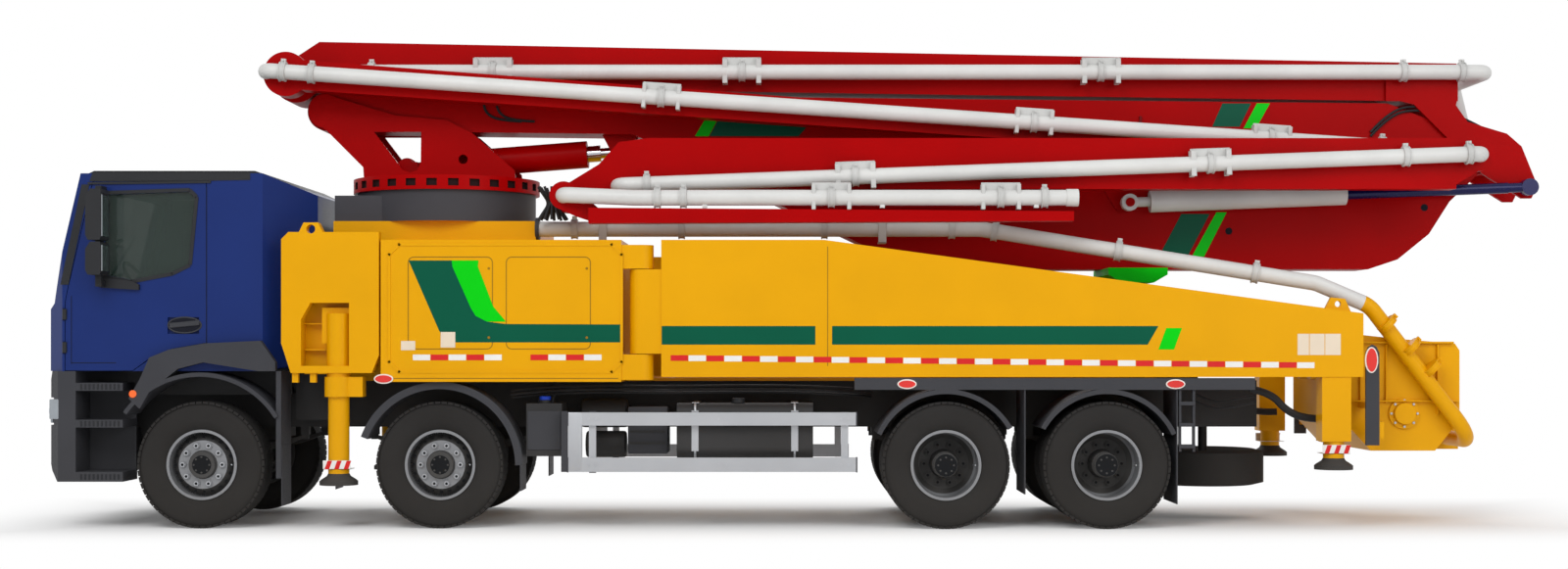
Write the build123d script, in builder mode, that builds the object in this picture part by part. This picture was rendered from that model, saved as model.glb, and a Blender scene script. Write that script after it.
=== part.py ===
from build123d import *
from math import cos, hypot, radians, sin
import os

# Truck-mounted concrete pump with a folding boom. Millimetres; +Z up, the cab at -X, the driver's
# side at -Y. The origin is on the ground, under the middle of the truck's box.

# ---------------------------------------------------------------- overall sizes
body_width = 2500
first_axle = -5140
front_overhang = 1365
front_face = first_axle - front_overhang
body_side = body_width / 2
running_gap = 6      # between pieces that move past each other
pin_gap = 0.3        # radial, between a pin and its bore
NEAR, FAR = -1, 1    # driver's side, and the other one

# ---------------------------------------------------------------- wheels
tyre_radius = 535
tyre_width = 315
seat_radius = 286    # of the rim, where the tyre's bead sits
flange_radius = 297
rim_wall = 12
second_axle = first_axle + 2010
third_axle = second_axle + 4260
fourth_axle = third_axle + 1350
front_track = 2040
rear_track = 1840    # between the middles of the twin tyres
twin_pitch = 340
kingpin_inset = 140  # from the wheel's middle to the kingpin
kingpin_radius = 22
spindle_radius = 45
hub_radius = 122
drum_radius = 205
drum_bore = 185

# ---------------------------------------------------------------- chassis
rail_top = 1130
rail_height = 300
rail_flange = 80
rail_web = 10
rail_side = 430      # outer face of a rail
rail_front = front_face + 500
rail_rear = 3920
deck_height = 1237   # underside of the pump's body on its subframe
beam_height = 100
beam_width = 90
spring_width = 80
spring_thickness = 70
spring_half_span = 700
rear_spring_half_span = 560
axle_tube = 75

# ---------------------------------------------------------------- cab
cab_half_width = 1150
cab_floor = 1326
cab_roof = 2995
cab_wall = 60
cab_rear = -4626
cab_taper_rear = -4262
cab_taper_half_width = 700
cab_corner = 150
door_front = front_face + 211
door_rear = -5096
door_top = 2930
door_gap = 6
glass_thickness = 10

# ---------------------------------------------------------------- pump body
box_front = -3610
box_rear = -1594
box_top = 2428
pedestal_half_width = 690
pedestal_front = -4130
pedestal_rear = -2380
pedestal_top = 2620
slew_x = -3258
ring_radius = 825
ring_bottom = 2890
ring_top = 3014
skirt_radius = 790
pipe_radius = 66.5
clamp_radius = 82
bend_radius = 250

# ---------------------------------------------------------------- outriggers
leg_panel_front = -4445
leg_panel_rear = -3626
leg_panel_top = 2494
leg_panel_bottom = 1311
leg_panel_inner = 1150
slide_beam_width = 240
slide_beam_bottom = 1560
slide_beam_top = 1860
near_beam_x = -4000
far_beam_x = -3745
front_jack_x = -3985
rear_jack_x = 4405
jack_y = 1140
jack_radius = 100
jack_wall = 12
jack_tube_gap = 0.4
foot_radius = 160
slide_beam_length = leg_panel_inner + jack_y - jack_radius - 10   # ends short of the far jack
arm_hinge_x = -1429
arm_hinge_y = 1140
arm_pin_radius = 45
arm_inner = 1030
arm_rear = 4627
arm_bottom = 1278
arm_top = 2428
arm_rear_top = 1812

# ---------------------------------------------------------------- boom lanes, side by side in Y
boom_middle = 150
a_half = 214
b_half = 220
ear_plate = 36
lane_gap = 10
a_low, a_high = boom_middle - a_half, boom_middle + a_half
b_low, b_high = boom_middle - b_half, boom_middle + b_half
b_pipe_y = b_low - 33 - clamp_radius
c_high = b_pipe_y - clamp_radius - lane_gap
c_width = 190
c_low = c_high - c_width
c_pipe_y = c_low - lane_gap - clamp_radius
d_high = c_pipe_y - clamp_radius - lane_gap
d_width = 180
d_low = d_high - d_width
d_pipe_y = d_low - lane_gap - clamp_radius
e_high = d_pipe_y - clamp_radius - lane_gap
e_width = 140
e_low = e_high - e_width
e_plate = 18
e_pipe_y = e_high - e_plate - 76
a_pipe_y = b_high + ear_plate + lane_gap + clamp_radius + 2

# Boom pins: X and Z of each axis.
pin_a = (-4330, 3640)
pin_b = (6196, 3270)
rear_tip = pin_b[0] + 309
pin_c = (-4600, 3925)
pin_d = (5746, 3182)
pin_e = (-2102, 2817)
lever_pin = (6398, 2954)
luff_base = (-3640, 3150)
luff_eye = (-1700, 3300)
fold_base = (2843, 2817)
boom_tip = 2215
tip_collar_radius = 74
elbow_bend = 74


os.makedirs("parts", exist_ok=True)


def save(piece, name):
    """Label a finished sub-part and write its STEP file."""
    piece.part.label = name
    export_step(piece.part, f"parts/{name}.step")


def side_plate(outline, y_low, y_high, mode=Mode.ADD):
    """Extrude an outline drawn in X and Z between two Y stations."""
    with BuildSketch(Plane.XZ.offset(-y_high)) as profile:
        with BuildLine():
            Polyline(*outline, close=True)
        make_face()
    extrude(profile.sketch, amount=y_high - y_low, mode=mode)


def side_disc(centre, radius, y_low, y_high, mode=Mode.ADD):
    """A cylinder along Y about a point given in X and Z."""
    with BuildSketch(Plane.XZ.offset(-y_high)) as profile:
        with Locations(centre):
            Circle(radius)
    extrude(profile.sketch, amount=y_high - y_low, mode=mode)


def block(x, y, z, mode=Mode.ADD):
    """A box from its low and high X, Y and Z."""
    with Locations(((x[0] + x[1]) / 2, (y[0] + y[1]) / 2, (z[0] + z[1]) / 2)):
        Box(x[1] - x[0], y[1] - y[0], z[1] - z[0], mode=mode)


def upright(centre, radius, z_low, z_high, mode=Mode.ADD):
    """A cylinder along Z about a point given in X and Y."""
    with BuildSketch(Plane.XY.offset(z_low)) as profile:
        with Locations(centre):
            Circle(radius)
    extrude(profile.sketch, amount=z_high - z_low, mode=mode)


def spin(outline, x, y, z, side):
    """Revolve (outward, radius) points about a line along Y through x, y, z."""
    with BuildSketch(Plane((x, y, z), x_dir=(0, side, 0), z_dir=(side, 0, 0))) as profile:
        with BuildLine():
            Polyline(*outline, close=True)
        make_face()
    revolve(profile.sketch, axis=Axis((x, y, z), (0, 1, 0)))


def tube_run(points, radius, bend):
    """A round bar along straight runs joined by arcs of one radius."""
    with BuildLine() as route:
        FilletPolyline(*points, radius=bend)
    with BuildSketch(Plane(route.line @ 0, z_dir=route.line % 0)) as ring:
        Circle(radius)
    sweep(ring.sketch, path=route.line)


def straight_bar(start, end, radius, mode=Mode.ADD):
    """A round bar between two points."""
    along = Vector(*end) - Vector(*start)
    with BuildSketch(Plane(start, z_dir=along)) as ring:
        Circle(radius)
    extrude(ring.sketch, amount=along.length, mode=mode)


def mirrored(low, high, side):
    """The two Y stations of a band that lies from low to high out from the middle, on one side."""
    return (low, high) if side == FAR else (-high, -low)


# ================================================================ wheels
half_tyre = tyre_width / 2
bead = 118
flange = bead + 12
tyre_outline = [
    (-bead, seat_radius), (-bead, flange_radius + 2), (-half_tyre + 3, 360), (-half_tyre, 450),
    (-half_tyre + 22, tyre_radius), (half_tyre - 22, tyre_radius),
    (half_tyre, 450), (half_tyre - 3, 360), (bead, flange_radius + 2), (bead, seat_radius),
]
rim_bore = seat_radius - rim_wall
front_disc = 88      # outer face of the dished disc, out from the wheel's middle
disc_plate = 14
front_rim_outline = [
    (-flange, flange_radius), (-bead, flange_radius), (-bead, seat_radius), (bead, seat_radius),
    (bead, flange_radius), (flange, flange_radius), (flange, rim_bore), (-6, rim_bore),
    (front_disc, drum_radius), (front_disc, hub_radius), (flange, hub_radius - 12), (flange, 0),
    (60, 0), (60, spindle_radius + pin_gap), (-50, spindle_radius + pin_gap), (-50, drum_bore),
    (-135, drum_bore), (-135, drum_radius), (front_disc - disc_plate - 4, drum_radius),
    (-20, rim_bore), (-flange, rim_bore),
]
twin = twin_pitch / 2
rear_spindle = 60
rear_rim_outline = [
    (-twin - flange, flange_radius), (-twin - bead, flange_radius), (-twin - bead, seat_radius),
    (-twin + bead, seat_radius), (-twin + bead, flange_radius), (-twin + flange, flange_radius),
    (-twin + flange, 266), (0, 222), (twin - flange, 266), (twin - flange, flange_radius),
    (twin - bead, flange_radius), (twin - bead, seat_radius), (twin + bead, seat_radius),
    (twin + bead, flange_radius), (twin + flange, flange_radius), (twin + flange, rim_bore),
    (75, rim_bore), (disc_plate, 215), (disc_plate, hub_radius), (180, hub_radius - 15), (180, 0),
    (60, 0), (60, rear_spindle + pin_gap), (-120, rear_spindle + pin_gap), (-120, drum_bore),
    (-285, drum_bore), (-285, drum_radius), (-disc_plate, drum_radius), (-disc_plate, 215),
    (-75, rim_bore), (-twin - flange, rim_bore),
]
# name, X, distance from the middle, steered
axles_table = [
    ("1", first_axle, front_track / 2, True),
    ("2", second_axle, front_track / 2, True),
    ("3", third_axle, rear_track / 2, False),
    ("4", fourth_axle, rear_track / 2, False),
]
sides_table = [("left", NEAR), ("right", FAR)]
for axle_name, axle_x, half_track, steered in axles_table:
    for side_name, side in sides_table:
        wheel_y = side * half_track
        shifts = [0] if steered else [-twin, twin]
        with BuildPart() as tyre:
            for shift in shifts:
                spin(tyre_outline, axle_x, wheel_y + side * shift, tyre_radius, side)
        save(tyre, f"tyre_{axle_name}_{side_name}")
        with BuildPart() as rim:
            outline = front_rim_outline if steered else rear_rim_outline
            spin(outline, axle_x, wheel_y, tyre_radius, side)
        save(rim, f"rim_{axle_name}_{side_name}")

# ================================================================ knuckles and axles
kingpin_y = front_track / 2 - kingpin_inset
fork_inner = 62      # half the beam's boss and its play
fork_outer = 100
boss_radius = 42
for axle_name, axle_x, half_track, steered in axles_table[:2]:
    for side_name, side in sides_table:
        with BuildPart() as knuckle:
            pin_place = (axle_x, side * kingpin_y)
            for low, high in [(fork_inner, fork_outer), (-fork_outer, -fork_inner)]:
                upright(pin_place, boss_radius, tyre_radius + low, tyre_radius + high)
            upright(pin_place, kingpin_radius, tyre_radius - fork_outer, tyre_radius + fork_outer)
            carrier_y = mirrored(kingpin_y + boss_radius + 6, kingpin_y + boss_radius + 40, side)
            carrier_z = (tyre_radius - fork_outer, tyre_radius + fork_outer)
            block((axle_x - 55, axle_x + 55), carrier_y, carrier_z)
            arm_y = mirrored(kingpin_y - 10, kingpin_y + boss_radius + 8, side)
            for low, high in [(fork_inner, fork_outer), (-fork_outer, -fork_inner)]:
                block((axle_x - 35, axle_x + 35), arm_y, (tyre_radius + low, tyre_radius + high))
            start = (axle_x, side * (kingpin_y + boss_radius + 20), tyre_radius)
            end = (axle_x, side * (front_track / 2 + 55), tyre_radius)
            straight_bar(start, end, spindle_radius)
            steer_start = (axle_x, side * kingpin_y, tyre_radius - fork_outer + 20)
            steer_end = (axle_x + 190, side * (kingpin_y - 60), tyre_radius - fork_outer + 20)
            straight_bar(steer_start, steer_end, 18)
        save(knuckle, f"knuckle_{axle_name}_{side_name}")

spring_y = rail_side - rail_flange / 2
spring_seat = tyre_radius + beam_height / 2
hanger_depth = 70
spring_end = rail_top - rail_height - hanger_depth


def leaf_spring(x, y, seat, half_span):
    """A spring pack: an arc from eye to eye that rests on its axle at the middle."""
    top = rail_top - rail_height - hanger_depth
    with BuildSketch(Plane.XZ.offset(-y - spring_width / 2)) as profile:
        with BuildLine():
            ThreePointArc((x - half_span, top), (x, seat + spring_thickness), (x + half_span, top))
            Line((x + half_span, top), (x + half_span, top - 25))
            ThreePointArc((x + half_span, top - 25), (x, seat), (x - half_span, top - 25))
            Line((x - half_span, top - 25), (x - half_span, top))
        make_face()
    extrude(profile.sketch, amount=spring_width)
    for end in (x - half_span, x + half_span):
        block((end - 25, end + 25), (y - spring_width / 2, y + spring_width / 2), (top - 40, top))


with BuildPart() as axles:
    for axle_name, axle_x, half_track, steered in axles_table:
        x = (axle_x - beam_width / 2, axle_x + beam_width / 2)
        z = (tyre_radius - beam_height / 2, tyre_radius + beam_height / 2)
        if steered:
            block(x, (-kingpin_y + 20, kingpin_y - 20), z)
            for side in (NEAR, FAR):
                boss_z = (tyre_radius - fork_inner + 2, tyre_radius + fork_inner - 2)
                upright((axle_x, side * kingpin_y), boss_radius, *boss_z)
                bore = kingpin_radius + pin_gap
                upright((axle_x, side * kingpin_y), bore, *boss_z, mode=Mode.SUBTRACT)
                leaf_spring(axle_x, side * spring_y, spring_seat, spring_half_span)
        else:
            inner = half_track - 290
            straight_bar((axle_x, -inner, tyre_radius), (axle_x, inner, tyre_radius), axle_tube)
            reach = half_track + 50
            start, end = (axle_x, -reach, tyre_radius), (axle_x, reach, tyre_radius)
            straight_bar(start, end, rear_spindle)
            with Locations((axle_x, 0, tyre_radius)):
                Sphere(210)
            for side in (NEAR, FAR):
                seat = tyre_radius + axle_tube - 5
                leaf_spring(axle_x, side * spring_y, seat, rear_spring_half_span)
save(axles, "axles")

# ================================================================ chassis
spare_x = 3530
rest_x = 2877
rest_length = 520
rest_top = 2226.6     # just under the boom's belly
rest_posts = [-380, 380]
with BuildPart() as chassis_frame:
    for side in (NEAR, FAR):
        outer = side * rail_side
        web = side * (rail_side - rail_web)
        inner = side * (rail_side - rail_flange)
        low, high = rail_top - rail_height, rail_top
        with BuildSketch(Plane.YZ.offset(rail_front)) as channel:
            with BuildLine():
                Polyline(
                    (outer, low), (outer, high), (inner, high), (inner, high - rail_web),
                    (web, high - rail_web), (web, low + rail_web), (inner, low + rail_web),
                    (inner, low), close=True,
                )
            make_face()
        extrude(channel.sketch, amount=rail_rear - rail_front)
        subframe_y = mirrored(rail_side - rail_flange, rail_side, side)
        block((leg_panel_front, rail_rear), subframe_y, (rail_top, deck_height))
        for axle_name, axle_x, half_track, steered in axles_table:
            span = spring_half_span if steered else rear_spring_half_span
            y = mirrored(spring_y - spring_width / 2, spring_y + spring_width / 2, side)
            for end in (-1, 1):
                x = axle_x + end * span
                block((x - 35, x + 35), y, (spring_end, rail_top - rail_height))
        for x in (-5950, -4750):
            block((x - 50, x + 50), subframe_y, (rail_top, cab_floor))
    for x in (rail_front, -4700, -3600, -1500, 0, 1800, spare_x - 40, rail_rear - 80):
        reach = rail_side - rail_web
        block((x, x + 80), (-reach, reach), (rail_top - rail_height + 20, rail_top - 20))
    rest_half = rest_length / 2
    for y in rest_posts:
        block((rest_x - 60, rest_x + 60), (y - 40, y + 40), (rail_top - 40, rest_top - 100))
    rest_y = (rest_posts[0] - 60, rest_posts[1] + 60)
    block((rest_x - 60, rest_x + 60), (-rail_side + 20, rail_side - 20), (rail_top - 60, rail_top + 80))
    rest_outline = [
        (rest_x - rest_half, rest_top), (rest_x + rest_half, rest_top),
        (rest_x + rest_half, rest_top - 60), (rest_x + rest_half - 120, rest_top - 130),
        (rest_x - rest_half + 120, rest_top - 130), (rest_x - rest_half, rest_top - 60),
    ]
    side_plate(rest_outline, *rest_y)
save(chassis_frame, "chassis_frame")

with BuildPart() as engine_block:
    block((-5900, -4700), (-330, 330), (720, 1260))
save(engine_block, "engine_block")

# ================================================================ cab
# Side outline: X and Z, from the sill round the front to the roof.
cab_side = [
    (cab_rear, cab_floor), (front_face + 8, cab_floor), (front_face, cab_floor + 260),
    (front_face + 25, 1835), (front_face + 90, 1900), (front_face + 120, 2036),
    (front_face + 345, cab_roof), (cab_rear, cab_roof),
]
room_side = [
    (cab_rear - cab_wall, cab_floor + cab_wall), (front_face + cab_wall + 6, cab_floor + cab_wall),
    (front_face + cab_wall, cab_floor + 260), (front_face + cab_wall + 25, 1835),
    (front_face + cab_wall + 90, 1900), (front_face + cab_wall + 122, 2036),
    (front_face + cab_wall + 335, cab_roof - cab_wall), (cab_rear - cab_wall, cab_roof - cab_wall),
]


def cab_plan(inset, radius):
    """Plan outline of the cab's main box, bowed at the front and rounded at its corners."""
    half = cab_half_width - inset
    front = front_face + inset
    rear = cab_rear - inset
    with BuildSketch(Plane.XY.offset(cab_floor)) as plan:
        with BuildLine():
            Line((rear, half), (front + 40 + radius, half))
            Line((front + 40 + radius, half), (front + 40, half - radius))
            ThreePointArc((front + 40, half - radius), (front, 0), (front + 40, radius - half))
            Line((front + 40, radius - half), (front + 40 + radius, -half))
            Line((front + 40 + radius, -half), (rear, -half))
            Line((rear, -half), (rear, half))
        make_face()
    extrude(plan.sketch, amount=cab_roof - cab_floor, mode=Mode.INTERSECT)


with BuildPart() as cab_outer:
    side_plate(cab_side, -cab_half_width, cab_half_width)
    cab_plan(0, cab_corner)
with BuildPart() as cab_room:
    side_plate(room_side, cab_wall - cab_half_width, cab_half_width - cab_wall)
    cab_plan(cab_wall, cab_corner - 20)

door_outline = [
    (door_front, cab_floor), (-5720, cab_floor), (-5560, 1440), (-5393, 1508), (door_rear, 1560),
    (door_rear, door_top), (door_front + 235, door_top), (door_front + 20, 2010),
    (door_front, 1900),
]
door_window = [
    (-5963, 2140), (-5963, 2815), (-5245, 2840), (-5195, 2790), (-5250, 2230),
    (-5393, 2160), (-5731, 2095),
]
windscreen_half = 950
windscreen_cut = [
    (front_face - 50, 2110), (front_face + 240, 2110), (front_face + 420, 2880),
    (front_face - 50, 2880),
]
knuckle_radius = 20
knuckle_height = 90
knuckle_levels = [1480, 1760]
grille_half = 720
grille_slots = [1440, 1545, 1650, 1755]
grille_slot_height = 70
with BuildPart() as cab_shell:
    add(cab_outer.part)
    add(cab_room.part, mode=Mode.SUBTRACT)
    for side in (NEAR, FAR):
        side_plate(door_outline, *mirrored(cab_half_width - cab_wall - 5, 1300, side), mode=Mode.SUBTRACT)
        for z in knuckle_levels:
            upright((door_front, side * cab_half_width), knuckle_radius + pin_gap, z - running_gap,
                    z + knuckle_height + running_gap, mode=Mode.SUBTRACT)
    side_plate(windscreen_cut, -windscreen_half, windscreen_half, mode=Mode.SUBTRACT)
    for z in grille_slots:
        slot_half = grille_half - (grille_slots[-1] - z) / 4
        block((front_face - 20, front_face + 45), (-slot_half, slot_half), (z, z + grille_slot_height),
              mode=Mode.SUBTRACT)
    # Tapered back of the cab, lower and narrower towards the rear.
    with BuildSketch(Plane.YZ.offset(cab_rear)):
        with Locations((0, (cab_floor + cab_roof) / 2)):
            Rectangle(2 * cab_half_width, cab_roof - cab_floor)
    with BuildSketch(Plane.YZ.offset(cab_taper_rear)):
        with Locations((0, (cab_floor + 80 + 2838) / 2)):
            Rectangle(2 * cab_taper_half_width, 2838 - cab_floor - 80)
    loft()
save(cab_shell, "cab_shell")

handle_x = (-5426, -5160)
handle_z = (1640, 1780)
handle_depth = 28
mirror_x = (-6030, -5900)
mirror_reach = 1420
mirror_bands = [(2130, 2405), (2420, 2845)]
for side_name, side in sides_table:
    with BuildPart() as door:
        add(cab_outer.part)
        add(cab_room.part, mode=Mode.SUBTRACT)
        leaf_y = mirrored(cab_half_width - cab_wall, cab_half_width + 50, side)
        with BuildSketch(Plane.XZ.offset(-leaf_y[1])) as leaf:
            with BuildLine():
                Polyline(*door_outline, close=True)
            make_face()
            offset(amount=-door_gap, kind=Kind.INTERSECTION)
        extrude(leaf.sketch, amount=leaf_y[1] - leaf_y[0], mode=Mode.INTERSECT)
        side_plate(door_window, *mirrored(900, 1300, side), mode=Mode.SUBTRACT)
        for z in knuckle_levels:
            upright((door_front, side * cab_half_width), knuckle_radius, z, z + knuckle_height)
        handle_y = mirrored(cab_half_width - handle_depth, cab_half_width + 10, side)
        block(handle_x, handle_y, handle_z, mode=Mode.SUBTRACT)
        bar_y = mirrored(cab_half_width - handle_depth - 2, cab_half_width - 4, side)
        block((handle_x[0] + 20, handle_x[1] - 20), bar_y, (handle_z[1] - 55, handle_z[1] - 25))
        mirror_y = mirrored(cab_half_width + 60, mirror_reach, side)
        for low, high in mirror_bands:
            housing = [
                (mirror_x[0] + 20, low), (mirror_x[1] - 10, low), (mirror_x[1], low + 30),
                (mirror_x[1], high - 30), (mirror_x[1] - 10, high), (mirror_x[0] + 40, high),
                (mirror_x[0], high - 60), (mirror_x[0], low + 40),
            ]
            side_plate(housing, *mirror_y)
        post = (mirror_x[0] + mirror_x[1]) / 2
        block((post - 25, post + 25), mirrored(1240, 1290, side), (mirror_bands[0][0] - 60, mirror_bands[1][1] + 30))
        block((post - 25, post + 25), mirrored(cab_half_width - 15, 1290, side),
              (mirror_bands[1][1] + 5, mirror_bands[1][1] + 35))
        arm_base = [
            (post - 25, 2030), (-5660, 2010), (-5660, 2055), (-5720, 2085), (post + 40, 2110), (post - 25, 2110),
        ]
        side_plate(arm_base, *mirrored(cab_half_width - 15, cab_half_width + 35, side))
        block((post - 25, post + 25), mirrored(cab_half_width + 10, 1290, side), (2035, 2080))
    save(door, f"door_{side_name}")

with BuildPart() as windscreen:
    glass_outline = [
        (front_face + 150, 2110), (front_face + 150 + glass_thickness, 2110),
        (front_face + 331 + glass_thickness, 2880), (front_face + 331, 2880),
    ]
    side_plate(glass_outline, -windscreen_half, windscreen_half)
save(windscreen, "windscreen")

bumper_front = front_face + 3
bumper_rear = bumper_front + 300
step_rear = first_axle - 665
step_bands = [(1160, 1227), (850, 915), (392, 475)]
arch_inner = 745
arch_outer = 780
flare_outline = [
    (-5733, 1097), (-5642, 1253), (-5560, 1440), (-5393, 1508), (-5096, 1560), (-4626, 1582), (-4501, 1400),
    (-4501, 1326), (-4640, 1326), (-4764, 1345), (-5108, 1400), (-5322, 1345), (-5560, 1150), (-5640, 1010),
]
with BuildPart() as cab_trim:
    bumper_outline = [
        (bumper_front + 60, cab_floor), (bumper_front + 10, 1150), (bumper_front, 1000),
        (bumper_front, 640), (bumper_front + 60, 480), (bumper_front + 140, 392),
        (bumper_rear, 392), (bumper_rear, cab_floor),
    ]
    side_plate(bumper_outline, -cab_half_width, cab_half_width)
    with BuildSketch(Plane.XY.offset(392)) as bumper_plan:
        with BuildLine():
            Line((bumper_rear, cab_half_width), (bumper_front + 150, cab_half_width))
            Line((bumper_front + 150, cab_half_width), (bumper_front + 40, cab_half_width - 150))
            ThreePointArc((bumper_front + 40, cab_half_width - 150), (bumper_front, 0),
                          (bumper_front + 40, 150 - cab_half_width))
            Line((bumper_front + 40, 150 - cab_half_width), (bumper_front + 150, -cab_half_width))
            Line((bumper_front + 150, -cab_half_width), (bumper_rear, -cab_half_width))
            Line((bumper_rear, -cab_half_width), (bumper_rear, cab_half_width))
        make_face()
    extrude(bumper_plan.sketch, amount=cab_floor - 392, mode=Mode.INTERSECT)
    block((bumper_front - 10, bumper_front + 60), (-430, 430), (900, 1060), mode=Mode.SUBTRACT)
    block((bumper_front - 10, bumper_front + 60), (-430, 430), (700, 850), mode=Mode.SUBTRACT)
    for side in (NEAR, FAR):
        block((bumper_front - 10, bumper_front + 90), mirrored(640, 1060, side), (867, 1100), mode=Mode.SUBTRACT)
        block((bumper_front - 10, bumper_front + 90), mirrored(700, 900, side), (590, 720), mode=Mode.SUBTRACT)
        step_y = mirrored(760, cab_half_width, side)
        for low, high in step_bands:
            block((bumper_rear, step_rear), step_y, (low, high))
        block((bumper_rear, step_rear), mirrored(760, 790, side), (392, 1160))
        flare_y = mirrored(cab_half_width, 1225, side)
        side_plate(flare_outline, *flare_y)
        with BuildSketch(Plane.XZ.offset(-mirrored(850, 1225, side)[1])) as arch:
            with BuildLine():
                arch_ends = []
                for radius in (arch_inner, arch_outer):
                    for angle in (35, 90, 148):
                        turn = radians(180 - angle)
                        arch_ends.append((first_axle + radius * cos(turn), tyre_radius + radius * sin(turn)))
                ThreePointArc(*arch_ends[:3])
                ThreePointArc(*arch_ends[3:])
                Line(arch_ends[0], arch_ends[3])
                Line(arch_ends[2], arch_ends[5])
            make_face()
        extrude(arch.sketch, amount=1225 - 850)
        mudguard_y = mirrored(850, 1200, side)
        block((-4500, -4458), mudguard_y, (424, 1326))
        block((-4458, -4452), mirrored(870, 1190, side), (190, 700))
    roof_cap = [
        (-6110, cab_roof), (-6060, cab_roof + 24), (-4700, cab_roof + 24), (-4650, cab_roof),
    ]
    side_plate(roof_cap, -cab_half_width + 40, cab_half_width - 40)
save(cab_trim, "cab_trim")

seat_table = [("driver", -560), ("mate", 560)]
with BuildPart() as cab_interior:
    floor_top = cab_floor + cab_wall
    for seat_name, seat_y in seat_table:
        block((-5400, -5020), (seat_y - 180, seat_y + 180), (floor_top, floor_top + 330))
        block((-5500, -4990), (seat_y - 250, seat_y + 250), (floor_top + 330, floor_top + 470))
        seat_back = [
            (-5110, floor_top + 440), (-5040, floor_top + 1010), (-4900, floor_top + 1010), (-4960, floor_top + 440),
        ]
        side_plate(seat_back, seat_y - 240, seat_y + 240)
        block((-5030, -4910), (seat_y - 130, seat_y + 130), (floor_top + 1010, floor_top + 1190))
    dash_outline = [
        (front_face + cab_wall + 120, floor_top + 300), (-6080, floor_top + 300),
        (-6080, floor_top + 560), (-6180, floor_top + 640), (front_face + cab_wall + 190, floor_top + 640),
    ]
    side_plate(dash_outline, -940, 940)
    block((-6280, -6090), (-200, 200), (floor_top, floor_top + 310))
    straight_bar((-6120, -560, floor_top + 520), (-5850, -560, floor_top + 700), 30)
    with BuildSketch(Plane((-5850, -560, floor_top + 700), z_dir=(270, 0, 180))) as wheel_ring:
        Circle(220)
    extrude(wheel_ring.sketch, amount=30)
save(cab_interior, "cab_interior")

# ================================================================ pump body
with BuildPart() as pedestal:
    block((pedestal_front, pedestal_rear), (-pedestal_half_width, pedestal_half_width),
          (deck_height, pedestal_top))
    upright((slew_x, 0), skirt_radius, pedestal_top, ring_bottom)
    block((pedestal_front, -3700), (-640, -330), (pedestal_top, pedestal_top + 225))
    for beam_x in (near_beam_x, far_beam_x):
        half = slide_beam_width / 2 + running_gap
        block((beam_x - half, beam_x + half), (-pedestal_half_width, pedestal_half_width),
              (slide_beam_bottom - pin_gap, slide_beam_top + running_gap), mode=Mode.SUBTRACT)
save(pedestal, "pedestal")

lug_radius = 100
lug_bands = [(2187, 2387), (1253, 1467)]
with BuildPart() as body_box:
    for side in (NEAR, FAR):
        box_y = mirrored(pedestal_half_width, body_side, side)
        block((box_front, box_rear), box_y, (deck_height, box_top))
        hinge_place = (arm_hinge_x, side * arm_hinge_y)
        for low, high in lug_bands:
            tongue_y = mirrored(arm_hinge_y - lug_radius, arm_hinge_y + lug_radius, side)
            block((box_rear - 20, arm_hinge_x), tongue_y, (low, high))
            upright(hinge_place, lug_radius, low, high)
            upright(hinge_place, arm_pin_radius + pin_gap, low, high, mode=Mode.SUBTRACT)
    block((pedestal_rear, box_rear), (-pedestal_half_width, pedestal_half_width), (deck_height, box_top))
    block((box_rear - 10, 3000), (-700, 700), (deck_height, deck_height + 25))
    for y in rest_posts:
        block((rest_x - 70, rest_x + 70), (y - 50, y + 50), (deck_height, deck_height + 25),
              mode=Mode.SUBTRACT)
save(body_box, "body_box")

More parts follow.
